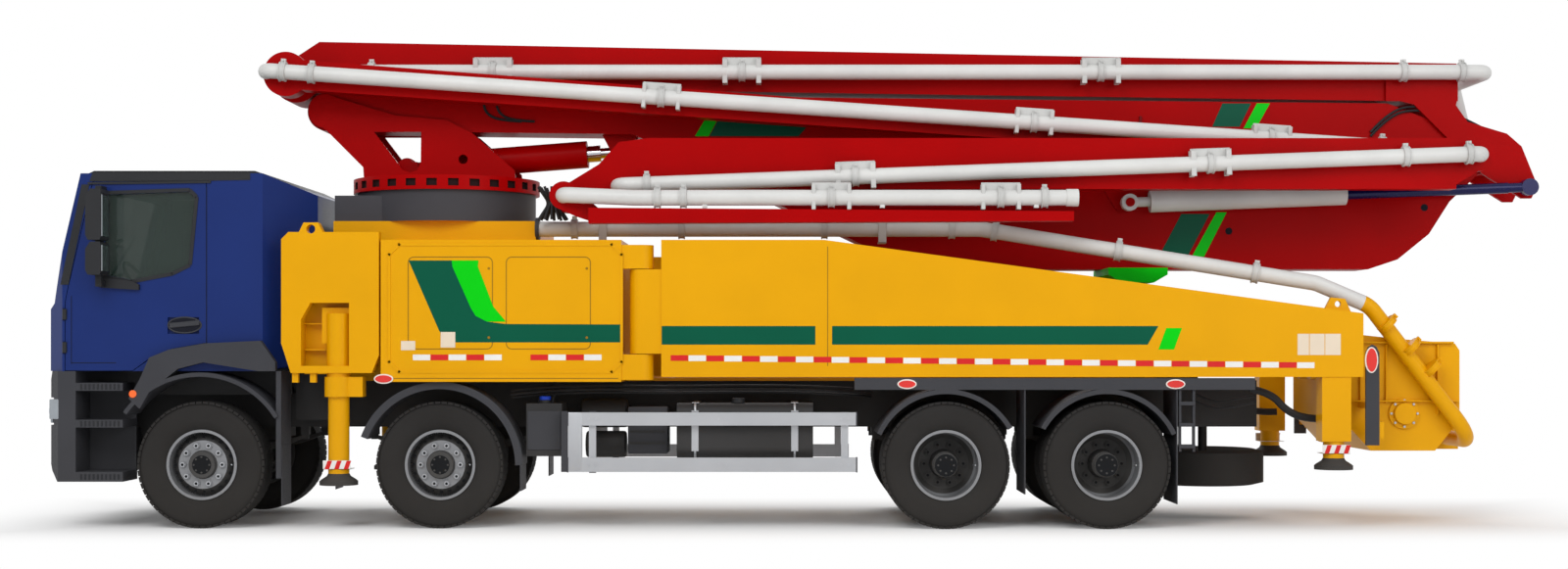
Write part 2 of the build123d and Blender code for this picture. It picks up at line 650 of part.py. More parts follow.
# ================================================================ outriggers
ear_x = -4197
for side_name, side in sides_table:
    beam_x = near_beam_x if side == NEAR else far_beam_x
    with BuildPart() as front_leg:
        panel_y = mirrored(leg_panel_inner, body_side, side)
        panel = [
            (leg_panel_front, leg_panel_bottom + 250), (leg_panel_front, leg_panel_top - 60),
            (leg_panel_front + 60, leg_panel_top), (leg_panel_rear, leg_panel_top),
            (leg_panel_rear, leg_panel_bottom + 150), (leg_panel_rear - 60, leg_panel_bottom),
            (leg_panel_front + 80, leg_panel_bottom),
        ]
        side_plate(panel, *panel_y)
        side_plate([(ear_x - 110, leg_panel_top - 20), (ear_x - 60, leg_panel_top + 80),
                    (ear_x + 60, leg_panel_top + 80), (ear_x + 110, leg_panel_top - 20)], *panel_y)
        side_disc((ear_x, leg_panel_top + 25), 38, *panel_y, mode=Mode.SUBTRACT)
        side_plate([(-4279, leg_panel_bottom + 60), (-4279, slide_beam_bottom + 200), (-4200, slide_beam_top + 40),
                    (-3876, slide_beam_top + 40), (-3876, leg_panel_bottom + 60)], *panel_y, mode=Mode.SUBTRACT)
        for x in (-4360, -4210):
            block((x, x + 50), mirrored(leg_panel_inner + 20, body_side - 30, side),
                  (leg_panel_bottom - 80, leg_panel_bottom + 10))
        half = slide_beam_width / 2
        beam_y = mirrored(leg_panel_inner - slide_beam_length, leg_panel_inner + 20, side)
        block((beam_x - half, beam_x + half), beam_y, (slide_beam_bottom, slide_beam_top))
        jack_place = (front_jack_x, side * jack_y)
        upright(jack_place, jack_radius, 1110, leg_panel_bottom + 500)
        upright(jack_place, jack_radius + 18, 1110, 1278)
        block((front_jack_x, front_jack_x + 215), mirrored(jack_y - 70, jack_y + 70, side), (1110, 1278))
        brace_y = mirrored(jack_y - 95, leg_panel_inner + 20, side)
        block((front_jack_x - 95, -3760), brace_y, (leg_panel_bottom + 450, leg_panel_bottom + 545))
        bore = jack_radius - jack_wall
        upright(jack_place, bore, 1110, leg_panel_bottom + 480, mode=Mode.SUBTRACT)
    save(front_leg, f"front_leg_{side_name}")

    with BuildPart() as rear_arm:
        hinge_place = (arm_hinge_x, side * arm_hinge_y)
        arm_y = mirrored(arm_inner, body_side, side)
        arm_front = arm_hinge_x + lug_radius + 70
        arm_outline = [
            (arm_front, arm_bottom), (arm_rear, arm_bottom), (arm_rear, arm_rear_top),
            (107, arm_top), (arm_front, arm_top),
        ]
        side_plate(arm_outline, *arm_y)
        tube_low, tube_high = lug_bands[1][1] + running_gap, lug_bands[0][0] - running_gap
        upright(hinge_place, lug_radius, tube_low, tube_high)
        tube_y = mirrored(arm_hinge_y - lug_radius, arm_hinge_y + lug_radius, side)
        block((arm_hinge_x, arm_front + 10), tube_y, (tube_low, tube_high))
        upright(hinge_place, arm_pin_radius, lug_bands[1][0] + 10, lug_bands[0][1] - 10)
        jack_place = (rear_jack_x, side * jack_y)
        housing_y = mirrored(jack_y - 100, jack_y + 100, side)
        block((rear_jack_x - 122, rear_jack_x + 122), housing_y, (735, arm_bottom + 20))
        upright(jack_place, jack_radius - jack_wall, 735, 1680, mode=Mode.SUBTRACT)
        side_plate([(arm_rear - 330, arm_rear_top - 20), (arm_rear - 250, arm_rear_top + 135),
                    (arm_rear - 130, arm_rear_top + 125), (arm_rear - 60, arm_rear_top - 30)],
                   *mirrored(jack_y - 20, jack_y + 20, side))
        side_disc((arm_rear - 190, arm_rear_top + 80), 26, *mirrored(jack_y - 20, jack_y + 20, side),
                  mode=Mode.SUBTRACT)
    save(rear_arm, f"rear_arm_{side_name}")

# name, X, bottom of the outer tube, bottom of the foot, top of the inner tube
jack_table = [("front", front_jack_x, 1110, 366, 1760), ("rear", rear_jack_x, 735, 497, 1650)]
for jack_name, jack_x, tube_bottom, foot_bottom, inner_top in jack_table:
    for side_name, side in sides_table:
        with BuildPart() as jack:
            place = (jack_x, side * jack_y)
            inner = jack_radius - jack_wall - jack_tube_gap
            upright(place, inner, foot_bottom + 60, inner_top)
            upright(place, foot_radius, foot_bottom, foot_bottom + 35)
            upright(place, inner - 25, foot_bottom + 30, foot_bottom + 70)
        save(jack, f"jack_{jack_name}_{side_name}")

# ================================================================ turret
cheek = 40
cheek_low = a_low - running_gap - 2
cheek_high = a_high + running_gap + 2
cheek_bands = [(cheek_low - cheek, cheek_low), (cheek_high, cheek_high + cheek)]
eye_radius = 150
pin_radius = 80
cheek_outline = [
    (-4470, 3640), (-4440, 3560), (-4317, 3463), (-3993, 3138), (-3984, ring_top - 10), (-2625, ring_top - 10),
    (-2642, 3112), (-3020, 3445), (-3250, 3560), (-3700, 3600), (-4250, 3765),
]
cheek_window = [(-3896, 3454), (-3475, 3454), (-3478, 3180), (-3510, 3112), (-3575, 3092), (-3640, 3112), (-3685, 3175)]
luff_half = 50
luff_radius = 122
ring_pockets = 28
with BuildPart() as turret:
    upright((slew_x, 0), ring_radius, ring_bottom + pin_gap, ring_top)
    with BuildSketch(Plane.XY.offset(ring_bottom + 30)) as pockets:
        with Locations((slew_x, 0)):
            with PolarLocations(ring_radius, ring_pockets):
                Rectangle(50, 90)
    extrude(pockets.sketch, amount=ring_top - ring_bottom - 60, mode=Mode.SUBTRACT)
    upright((slew_x + 480, 530), 105, ring_top - 10, ring_top + 120)
    upright((slew_x + 480, 530), 80, ring_top + 110, ring_top + 330)
    for low, high in cheek_bands:
        side_plate(cheek_outline, low, high)
        side_plate(cheek_window, low, high, mode=Mode.SUBTRACT)
        side_disc((-3100, 3209), 42, low, high, mode=Mode.SUBTRACT)
        side_disc(pin_a, eye_radius, low, high)
        side_disc(pin_a, pin_radius + pin_gap, low, high, mode=Mode.SUBTRACT)
    for low, high in [(boom_middle - luff_half - 46, boom_middle - luff_half - 6),
                      (boom_middle + luff_half + 6, boom_middle + luff_half + 46)]:
        side_plate([(-3800, ring_top - 10), (-3490, ring_top - 10), (-3540, 3200), (-3740, 3200)], low, high)
        side_disc(luff_base, 80, low, high)
    side_disc(luff_base, 38, boom_middle - luff_half - 10, boom_middle + luff_half + 10)
    riser_y = a_pipe_y + 200
    tube_run([(pin_a[0], a_pipe_y + 101, pin_a[1]), (pin_a[0], riser_y, pin_a[1]),
              (-3900, riser_y, 3250), (-3750, 400, ring_top - 20)], pipe_radius, 90)
save(turret, "turret")

# ================================================================ boom
a_root = 170
a_outline = [
    (pin_a[0], pin_a[1] + a_root), (5178, 3715), (5900, 3430), (6196, 3435), (6250, 3110), (5986, 3079),
    (5731, 2833), (5547, 2543), (5266, 2315), (5002, 2227), (1929, 2227), (699, 2341), (67, 2640),
    (-1584, 3439), (pin_a[0], pin_a[1] - a_root),
]
hub_b = 165
luff_lug_bands = [(boom_middle - luff_half - 40, boom_middle - luff_half - 6),
                  (boom_middle + luff_half + 6, boom_middle + luff_half + 40)]
fold_y = b_pipe_y
fold_half = 45
fold_radius = 97
with BuildPart() as boom_a:
    side_plate(a_outline, a_low, a_high)
    side_disc(pin_a, a_root, a_low, a_high)
    side_disc(pin_b, hub_b, a_low, a_high)
    side_disc(pin_a, pin_radius, cheek_bands[0][0], cheek_bands[1][1])
    side_disc(pin_b, pin_radius, b_low - ear_plate, b_high + ear_plate)
    for low, high in luff_lug_bands:
        side_plate([(-1880, 3460), (-1560, 3440), (-1610, 3290), (-1790, 3290)], low, high)
        side_disc(luff_eye, 90, low, high)
    side_plate([(2600, 2990), (3060, 2990), (2940, 2760), (2740, 2760)], a_low - 24, a_low)
    side_disc(fold_base, 40, fold_y - fold_half - 15, a_low - 10)
save(boom_a, "boom_a")

end_b = 205
b_outline = [
    (-4394, 4265), (5793, 4071), (5793, 3727), (-4290, 3870), (-4470, 3830), (-4760, 3925), (-4600, 4130),
]
ear_outline = [
    (5150, 3760), (5793, 3760), (5775, 3694), (5880, 3545), (6232, 3439), (6363, 3325), (rear_tip, 2974),
    (6451, 2860), (6363, 2860), (6012, 3079), (5900, 3200), (5400, 3700),
]
with BuildPart() as boom_b:
    side_plate(b_outline, b_low, b_high)
    side_disc(pin_c, end_b, b_low, b_high)
    for low, high in [(b_low - ear_plate, b_low), (b_high, b_high + ear_plate)]:
        side_plate(ear_outline, low, high)
        side_plate([(5150, 3730), (5793, 3730), (5793, 3940), (5150, 3940)], low, high)
        side_disc(pin_b, pin_radius + pin_gap, low, high, mode=Mode.SUBTRACT)
    side_disc(pin_c, 60, c_low + 4, b_low)
    side_disc(lever_pin, 90, b_low - ear_plate, b_low)
    side_disc(lever_pin, 60, b_low - ear_plate - 22, b_low - ear_plate + 5)
save(boom_b, "boom_b")

half_c_left, half_c_right = 130, 100
hub_c = 195
c_outline = [
    (pin_c[0], pin_c[1] + half_c_left), (pin_d[0], pin_d[1] + half_c_right),
    (pin_d[0], pin_d[1] - half_c_right), (pin_c[0], pin_c[1] - half_c_left),
]
with BuildPart() as boom_c:
    side_plate(c_outline, c_low, c_high)
    side_disc(pin_c, hub_c, c_low, c_high)
    side_disc(pin_d, 140, c_low, c_high)
    side_disc(pin_c, 60 + pin_gap, c_low, c_high, mode=Mode.SUBTRACT)
    side_disc(pin_d, 55, d_low + 4, c_low)
save(boom_c, "boom_c")

d_outline = [
    (pin_d[0] - 204, 3325), (pin_d[0] - 204, 2888), (-1500, 2888), (-1750, 2870), (pin_e[0], pin_e[1] - 110),
    (pin_e[0], pin_e[1] + 110), (-1820, 3100), (-1650, 3290), (-1400, 3325),
]
with BuildPart() as boom_d:
    side_plate(d_outline, d_low, d_high)
    side_plate([(pin_d[0] - 246, 3325), (pin_d[0], 3310), (pin_d[0], 3050), (pin_d[0] - 246, 2900)], d_low, d_high)
    side_disc(pin_d, 140, d_low, d_high)
    side_disc(pin_e, 130, d_low, d_high)
    side_disc(pin_d, 55 + pin_gap, d_low, d_high, mode=Mode.SUBTRACT)
    side_disc(pin_e, 45, e_high - e_plate + 4, d_low)
save(boom_d, "boom_d")

e_top, e_bottom = 2705, 2573
with BuildPart() as boom_e:
    side_plate([(-1880, e_top), (boom_tip, e_top - 30), (boom_tip, e_bottom + 20), (-1880, e_bottom)],
               e_low, e_high)
    side_plate([(-1800, e_top), (-1800, e_bottom), (-2000, 2640), (pin_e[0] - 60, pin_e[1] - 104),
                (pin_e[0], pin_e[1] + 120), (-1980, 2860)], e_high - e_plate, e_high)
    side_disc(pin_e, 120, e_high - e_plate, e_high)
    side_disc(pin_e, 45 + pin_gap, e_high - e_plate, e_high, mode=Mode.SUBTRACT)
save(boom_e, "boom_e")

# ================================================================ concrete pipes
with BuildPart() as pipe_a:
    tube_run([(pin_a[0], a_pipe_y + 100, pin_a[1]), (pin_a[0], a_pipe_y, pin_a[1]),
              (pin_b[0], a_pipe_y, pin_b[1]), (pin_b[0], a_pipe_y + 100, pin_b[1])], pipe_radius, 95)
    for x in (-3400, -1300, 800, 2900, 5000):
        z = pin_a[1] + (pin_b[1] - pin_a[1]) * (x - pin_a[0]) / (pin_b[0] - pin_a[0])
        block((x - 20, x + 20), (a_high, a_pipe_y), (z - 30, z + 30))
save(pipe_a, "pipe_a")

riser_b_y = a_pipe_y + 260
b_pipe_x = 6024
b_pipe_z = 3978
b_inlet_x = pin_c[0] + 450
with BuildPart() as pipe_b:
    tube_run([(pin_b[0], a_pipe_y + 101, pin_b[1]), (pin_b[0], riser_b_y, pin_b[1]),
              (b_pipe_x, riser_b_y, b_pipe_z), (b_pipe_x, b_pipe_y, b_pipe_z),
              (b_inlet_x, b_pipe_y, b_pipe_z), (b_inlet_x, b_low, b_pipe_z)], pipe_radius, 90)
    for x in (-2800, -600, 2700, 5400):
        block((x - 20, x + 20), (b_pipe_y, b_low), (b_pipe_z - 30, b_pipe_z + 30))
save(pipe_b, "pipe_b")

c_pipe_left = (-4768, 3943)
c_pipe_right = (pin_d[0] - 446, 3256)
with BuildPart() as pipe_c:
    tube_run([(c_pipe_left[0], c_low, c_pipe_left[1]), (c_pipe_left[0], c_pipe_y, c_pipe_left[1]),
              (c_pipe_right[0], c_pipe_y, c_pipe_right[1]), (c_pipe_right[0], c_low, c_pipe_right[1])],
             pipe_radius, 90)
    for x in (-3500, -1000, 1500, 4000):
        z = c_pipe_left[1] + (c_pipe_right[1] - c_pipe_left[1]) * (x - c_pipe_left[0]) / (
            c_pipe_right[0] - c_pipe_left[0])
        block((x - 20, x + 20), (c_pipe_y, c_low), (z - 25, z + 25))
save(pipe_c, "pipe_c")

d_pipe_left = (pin_e[0] + 450, 2851)
with BuildPart() as pipe_d:
    tube_run([(pin_d[0], d_low, pin_d[1]), (pin_d[0], d_pipe_y, pin_d[1]),
              (d_pipe_left[0], d_pipe_y, d_pipe_left[1] + 60), (d_pipe_left[0], d_low, d_pipe_left[1] + 60)],
             pipe_radius, 90)
    for x in (0, 2500, 4600):
        z = d_pipe_left[1] + 60 + (pin_d[1] - d_pipe_left[1] - 60) * (x - d_pipe_left[0]) / (
            pin_d[0] - d_pipe_left[0])
        block((x - 20, x + 20), (d_pipe_y, d_low), (z - 25, z + 25))
save(pipe_d, "pipe_d")

e_pipe_z = e_top + pipe_radius + 20
with BuildPart() as pipe_e:
    tube_run([(pin_e[0], e_high - e_plate, pin_e[1]), (pin_e[0], e_pipe_y, pin_e[1]),
              (-1500, e_pipe_y, e_pipe_z), (boom_tip + 40, e_pipe_y, e_pipe_z)], pipe_radius, elbow_bend)
    straight_bar((boom_tip - 60, e_pipe_y, e_pipe_z), (boom_tip + 40, e_pipe_y, e_pipe_z), tip_collar_radius)
    for x in (-900, 600, 1900):
        block((x - 20, x + 20), (e_pipe_y - 30, e_pipe_y + 30), (e_top - 2, e_pipe_z))
        block((x - 20, x + 20), (e_pipe_y - 30, e_pipe_y + 30), (e_bottom, e_top), mode=Mode.SUBTRACT)
save(pipe_e, "pipe_e")

deck_pipe_y = -620
outer_pipe_y = -960
outlet = (5640, -150, 730)
with BuildPart() as deck_pipe:
    tube_run([(pedestal_rear, deck_pipe_y, 2554), (1480, deck_pipe_y, 2554), (4300, outer_pipe_y, 2075),
              (4760, outer_pipe_y, 1880), (outlet[0], outer_pipe_y, outlet[2]), outlet],
             pipe_radius, bend_radius)
save(deck_pipe, "deck_pipe")

# ================================================================ cylinders
# name, base, eye, Y, radii of barrel and rod, half width of the eyes, end of the barrel, start of the
# rod, radii of the eyes and of the base pin
cylinder_table = [
    ("luff", luff_base, luff_eye, boom_middle, luff_radius, 75, luff_half, 1634, 150, 90, 38),
    ("fold", fold_base, lever_pin, fold_y, fold_radius, 48, fold_half, 1921, 800, 75, 40),
]
for name, base, eye, y, radius, rod, half, barrel_end, rod_start, eye_r, base_pin in cylinder_table:
    along = Vector(eye[0] - base[0], 0, eye[1] - base[1])
    length = along.length
    step = along.normalized()
    foot = Vector(base[0], y, base[1])
    neck = half - 2
    with BuildPart() as barrel:
        straight_bar(foot + step * (eye_r - 10), foot + step * 190, neck)
        straight_bar(foot + step * 180, foot + step * barrel_end, radius)
        straight_bar(foot + step * 210, foot + step * barrel_end, rod + pin_gap, mode=Mode.SUBTRACT)
        side_disc(base, eye_r, y - half, y + half)
        side_disc(base, base_pin + pin_gap, y - half, y + half, mode=Mode.SUBTRACT)
    save(barrel, f"{name}_barrel")
    with BuildPart() as rod_part:
        straight_bar(foot + step * max(rod_start, 220), foot + step * (length - 190), rod)
        straight_bar(foot + step * (length - 200), foot + step * (length - eye_r + 20), neck)
        side_disc(eye, eye_r, y - half, y + half)
    save(rod_part, f"{name}_rod")

# ================================================================ tanks, guards, fenders, hopper
guard_bands = [(870, 980), (480, 600)]
tank_x = (-1135, 15)
with BuildPart() as side_gear:
    with BuildSketch(Plane.YZ.offset(tank_x[0])) as tank_end:
        with Locations((-820, 822)):
            RectangleRounded(660, 463, 90)
    extrude(tank_end.sketch, amount=tank_x[1] - tank_x[0])
    for x in (-1000, -200):
        block((x, x + 100), (-rail_side - 70, -rail_side), (700, 1040))
    block((-2405, -2105), (-1130, -760), (607, 1053))
    upright((-2255, -1040), 45, 1050, 1080)
    block((-2400, -2340), (-770, -rail_side), (850, 1000))
    for side in (NEAR, FAR):
        guard_y = mirrored(1200, 1235, side)
        for low, high in guard_bands:
            block((-2045, 380), guard_y, (low, high))
        for x in (-1840, 280):
            block((x - 30, x + 30), mirrored(1165, 1200, side), (480, 980))
            block((x - 30, x + 30), mirrored(rail_side, 1170, side), (880, 940))
save(side_gear, "side_gear")

# X of the wheel, inner and outer radius, first and last angle from the front, up over the top
fender_table = [(second_axle, 640, 700, 20, 180), (third_axle, 600, 640, 25, 150), (fourth_axle, 600, 640, 30, 155)]
with BuildPart() as fenders:
    for axle_x, inner, outer, first, last in fender_table:
        for side in (NEAR, FAR):
            low, high = (860, 1200) if axle_x == second_axle else (600, 1245)
            y_low, y_high = mirrored(low, high, side)
            with BuildSketch(Plane.XZ.offset(-y_high)) as band:
                with BuildLine():
                    points = []
                    for radius in (inner, outer):
                        ends = []
                        for angle in (first, (first + last) / 2, last):
                            turn = radians(180 - angle)
                            ends.append((axle_x + radius * cos(turn), tyre_radius + radius * sin(turn)))
                        points.append(ends)
                    ThreePointArc(*points[0])
                    ThreePointArc(*points[1])
                    Line(points[0][0], points[1][0])
                    Line(points[0][2], points[1][2])
                make_face()
            extrude(band.sketch, amount=y_high - y_low)
            stay_y = mirrored(rail_side, low + 20, side)
            block((axle_x - 25, axle_x + 25), stay_y, (tyre_radius + inner + 5, tyre_radius + inner + 35))
    # Flat top over the rear wheels, with the flaps and a ladder below it.
    for side in (NEAR, FAR):
        block((362, 3721), mirrored(1150, 1245, side), (tyre_radius + 635, arm_bottom - 10))
        for x, low in [(1786, 292), (3062, 210)]:
            block((x, x + 10), mirrored(640, 1240, side), (low, tyre_radius + 645))
        block((-2450, -2440), mirrored(860, 1200, side), (317, 560))
        for x in (3084, 3200):
            block((x, x + 20), mirrored(1190, 1230, side), (650, tyre_radius + 645))
        for z in (680, 860, 1040):
            block((3084, 3220), mirrored(1180, 1240, side), (z, z + 30))
save(fenders, "fenders")

spare_low = 305
spare_high = spare_low + tyre_width
with BuildPart() as spare_wheel:
    with BuildSketch(Plane.XZ) as profile:
        with BuildLine():
            Polyline(
                (spare_x + seat_radius, spare_low + 40), (spare_x + 450, spare_low), (spare_x + tyre_radius, spare_low + 22),
                (spare_x + tyre_radius, spare_high - 22), (spare_x + 450, spare_high),
                (spare_x + seat_radius, spare_high - 40), close=True,
            )
        make_face()
    revolve(profile.sketch, axis=Axis((spare_x, 0, 0), (0, 0, 1)))
    upright((spare_x, 0), seat_radius, 440, 462)
    upright((spare_x, 0), 40, 450, rail_top - rail_height + 20)
save(spare_wheel, "spare_wheel")

hopper_half = 860
pump_z = deck_height + 25 + 8 + 130
tub_wall = 30
grille_split = 5030
hopper_outline = [
    (4560, 1650), (4560, 900), (4800, 640), (5350, 640), (5560, 900), (5560, 1500), (5520, 1560), (grille_split, 1600),
]
room_outline = [(4590, 1700), (4590, 920), (4815, 670), (5335, 670), (5530, 920), (5530, 1700)]
tail_plate = [
    (4656, 703), (4656, 1480), (4680, 1530), (4712, 1549), (4744, 1530), (4768, 1480), (4768, 703),
]
with BuildPart() as hopper:
    side_plate(hopper_outline, -hopper_half, hopper_half)
    side_plate(room_outline, -hopper_half + tub_wall, hopper_half - tub_wall, mode=Mode.SUBTRACT)
    side_plate([(4590, 1645), (4590, 1615), (grille_split, 1565), (grille_split, 1595)],
               -hopper_half + tub_wall - 2, hopper_half - tub_wall + 2)
    block((5530, 5780), (outlet[1], -outlet[1]), (outlet[2] - 110, outlet[2] + 150))
    side_disc((5080, 960), 45, -hopper_half - 25, hopper_half + 25)
    for y, rise in [(-560, 1), (-280, -1), (280, 1), (560, -1)]:
        side_plate([(5060, 960), (5100, 960), (5130, 960 + rise * 165), (5040, 960 + rise * 165)], y - 70, y + 70)
    block((5490, 5535), (-hopper_half + 200, hopper_half - 200), (1490, 1529.7))
    side_disc((5080, 960), 110, hopper_half + 20, hopper_half + 190)
    for y in (-180, 180):
        straight_bar((4580, y, pump_z), (900, y, pump_z), 130)
        straight_bar((980, y, pump_z), (1030, y, pump_z), 136)
        straight_bar((4440, y, pump_z), (4565, y, pump_z), 160)
    block((2950, 3350), (-330, 330), (deck_height + 25.3, pump_z + 60))
    for side in (NEAR, FAR):
        side_plate(tail_plate, *mirrored(1195, 1225, side))
        block((4690, 4734), mirrored(hopper_half - 5, 1200, side), (1010, 1060))
        block((4750, 4810), mirrored(985, 1215, side), (760, 900))
        block((4700, 4760), mirrored(1150, 1200, side), (790, 870))
save(hopper, "hopper")

bar_pitch = 76
with BuildPart() as hopper_grille:
    leaf = (grille_split + 6, 5522)
    leaf_half = hopper_half - tub_wall - 8
    top = 1590
    block((leaf[0] - 4, leaf[0] + 30), (-leaf_half, leaf_half), (top - 25, top + 10))
    block((leaf[1] - 26, leaf[1]), (-leaf_half, leaf_half), (top - 60, top - 30))
    side_disc((grille_split + 1, 1602), 6, -leaf_half, leaf_half)
    bars = int(leaf_half * 2 // bar_pitch)
    for i in range(bars + 1):
        y = (i - bars / 2) * bar_pitch
        side_plate([(leaf[0], top + 5), (leaf[1] - 5, top - 32), (leaf[1] - 5, top - 60), (leaf[0], top - 23)],
                   y - 6, y + 6)
save(hopper_grille, "hopper_grille")
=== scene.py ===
from math import cos, exp, hypot, pi, radians, sin

import bmesh
import bpy
from bpy.props import FloatProperty, FloatVectorProperty, IntProperty, PointerProperty
from mathutils import Matrix, Vector
from mathutils.bvhtree import BVHTree


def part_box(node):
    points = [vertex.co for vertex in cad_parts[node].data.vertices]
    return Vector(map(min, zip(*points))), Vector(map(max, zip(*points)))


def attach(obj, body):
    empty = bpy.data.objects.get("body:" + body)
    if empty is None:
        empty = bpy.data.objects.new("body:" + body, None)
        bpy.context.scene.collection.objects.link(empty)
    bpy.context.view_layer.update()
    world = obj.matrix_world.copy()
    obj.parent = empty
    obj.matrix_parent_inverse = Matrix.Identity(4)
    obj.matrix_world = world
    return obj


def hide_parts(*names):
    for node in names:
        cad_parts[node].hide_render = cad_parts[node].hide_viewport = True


bl_info = {
    "name": "Concrete pump truck",
    "version": (1, 0, 0),
    "blender": (4, 5, 0),
    "location": "View3D > Sidebar > Pump Truck",
    "description": "Dresses the pump truck's frame with paint, tyres, glass, clamps, hoses and markings",
    "category": "Object",
}

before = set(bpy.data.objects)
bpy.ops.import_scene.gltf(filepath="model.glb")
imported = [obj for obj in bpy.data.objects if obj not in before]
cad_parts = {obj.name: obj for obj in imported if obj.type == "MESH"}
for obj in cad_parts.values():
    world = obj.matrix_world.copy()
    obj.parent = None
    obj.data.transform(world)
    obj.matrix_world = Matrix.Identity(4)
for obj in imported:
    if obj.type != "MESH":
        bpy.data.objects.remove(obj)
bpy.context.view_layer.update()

# Lengths are in metres. The sides, lines and floors below are stations of the CAD nodes.
sides = (("left", -1), ("right", 1))
body_side = 1.25
cab_side = 1.1495
guard_side = 1.196
hopper_side = 0.86
boom_side = -0.064
hub_face = -0.062
jack_line = 1.14
jack_half = 0.089
seat_line = 0.56
cab_floor = 1.386
slew_middle = -3.258
pipe_radius = 0.0665
tyre_width = 0.315
foot_height = 0.058
smooth_angle = 35


def from_screen(red, green, blue):
    """Linear colour from its 0 to 255 screen values."""
    return tuple((v / 255 / 12.92) if v < 11 else ((v / 255 + 0.055) / 1.055) ** 2.4 for v in (red, green, blue))


def colour_setting(name, description, *screen):
    """A colour that a user can change, its default given in screen values."""
    return FloatVectorProperty(name=name, description=description, subtype="COLOR", default=from_screen(*screen))


def length_setting(name, description, default):
    """A length that a user can change."""
    return FloatProperty(name=name, description=description, subtype="DISTANCE", unit="LENGTH", default=default)


# ------------------------------------------------------------------ settings
class PaintSettings(bpy.types.PropertyGroup):
    """Colours of the painted and moulded surfaces."""

    cab: colour_setting("Cab", "Blue of the cab", 22, 43, 104)
    body: colour_setting("Body", "Yellow of the pump body and its legs", 221, 158, 0)
    boom: colour_setting("Boom", "Red of the boom and turret", 160, 0, 2)
    stripe: colour_setting("Stripe", "Dark green of the long stripes", 0, 82, 60)
    accent: colour_setting("Accent", "Bright green of the short stripes and the boom's rest", 0, 200, 14)
    pipe: colour_setting("Pipe", "Off-white of the concrete pipes", 206, 206, 204)
    chassis: colour_setting("Chassis", "Black of the frame and axles", 36, 37, 40)
    plastic: colour_setting("Plastic", "Dark grey of the bumper, steps and fenders", 54, 55, 60)
    skirt: colour_setting("Skirt", "Grey of the band under the slewing ring", 64, 64, 69)
    glass: colour_setting("Glass", "Tint of the windows", 38, 54, 48)


class WheelSettings(bpy.types.PropertyGroup):
    """Sizes of the tyres and wheel nuts."""

    tread_blocks: IntProperty(name="Tread blocks", description="Shoulder blocks round one tyre", default=60, min=12)
    groove: length_setting("Groove", "Depth of the tread's grooves", 0.014)
    nuts: IntProperty(name="Nuts", description="Wheel nuts on one wheel", default=10, min=3)
    nut_circle: length_setting("Nut circle", "Diameter of the circle of nuts", 0.335)
    nut_radius: length_setting("Nut radius", "Radius of one nut", 0.021)


class PipeSettings(bpy.types.PropertyGroup):
    """Sizes of the pipe clamps and hoses."""

    clamp_reach: length_setting("Clamp reach", "How far a clamp stands out from its pipe", 0.015)
    clamp_width: length_setting("Clamp width", "Width of one clamp ring", 0.055)
    hose_radius: length_setting("Hose radius", "Radius of a hydraulic hose", 0.014)


class MarkSettings(bpy.types.PropertyGroup):
    """Sizes of the stripes and the reflective tape."""

    tape_height: length_setting("Tape height", "Height of the reflective tape", 0.048)
    tape_step: length_setting("Tape step", "Length of one colour of the tape", 0.15)
    film: length_setting("Film", "Thickness of a stuck-on marking", 0.0015)


# ------------------------------------------------------------------ nodes and finishes
finishes = {}
trees = {}


def feed(tree, target, source):
    """Link a node's first output or another output to an input, or set the input's value."""
    if isinstance(source, bpy.types.Node):
        source = source.outputs[0]
    if isinstance(source, bpy.types.NodeSocket):
        tree.links.new(source, target)
    else:
        target.default_value = source


def node(tree, kind, inputs=None, **settings):
    """Add a node, apply its settings and feed its inputs."""
    made = tree.nodes.new(kind)
    for key, value in settings.items():
        setattr(made, key, value)
    for socket, source in (inputs or {}).items():
        feed(tree, made.inputs[socket], source)
    return made


def math(tree, operation, first, second=0.0):
    """Add a Math node."""
    return node(tree, "ShaderNodeMath", {0: first, 1: second}, operation=operation)


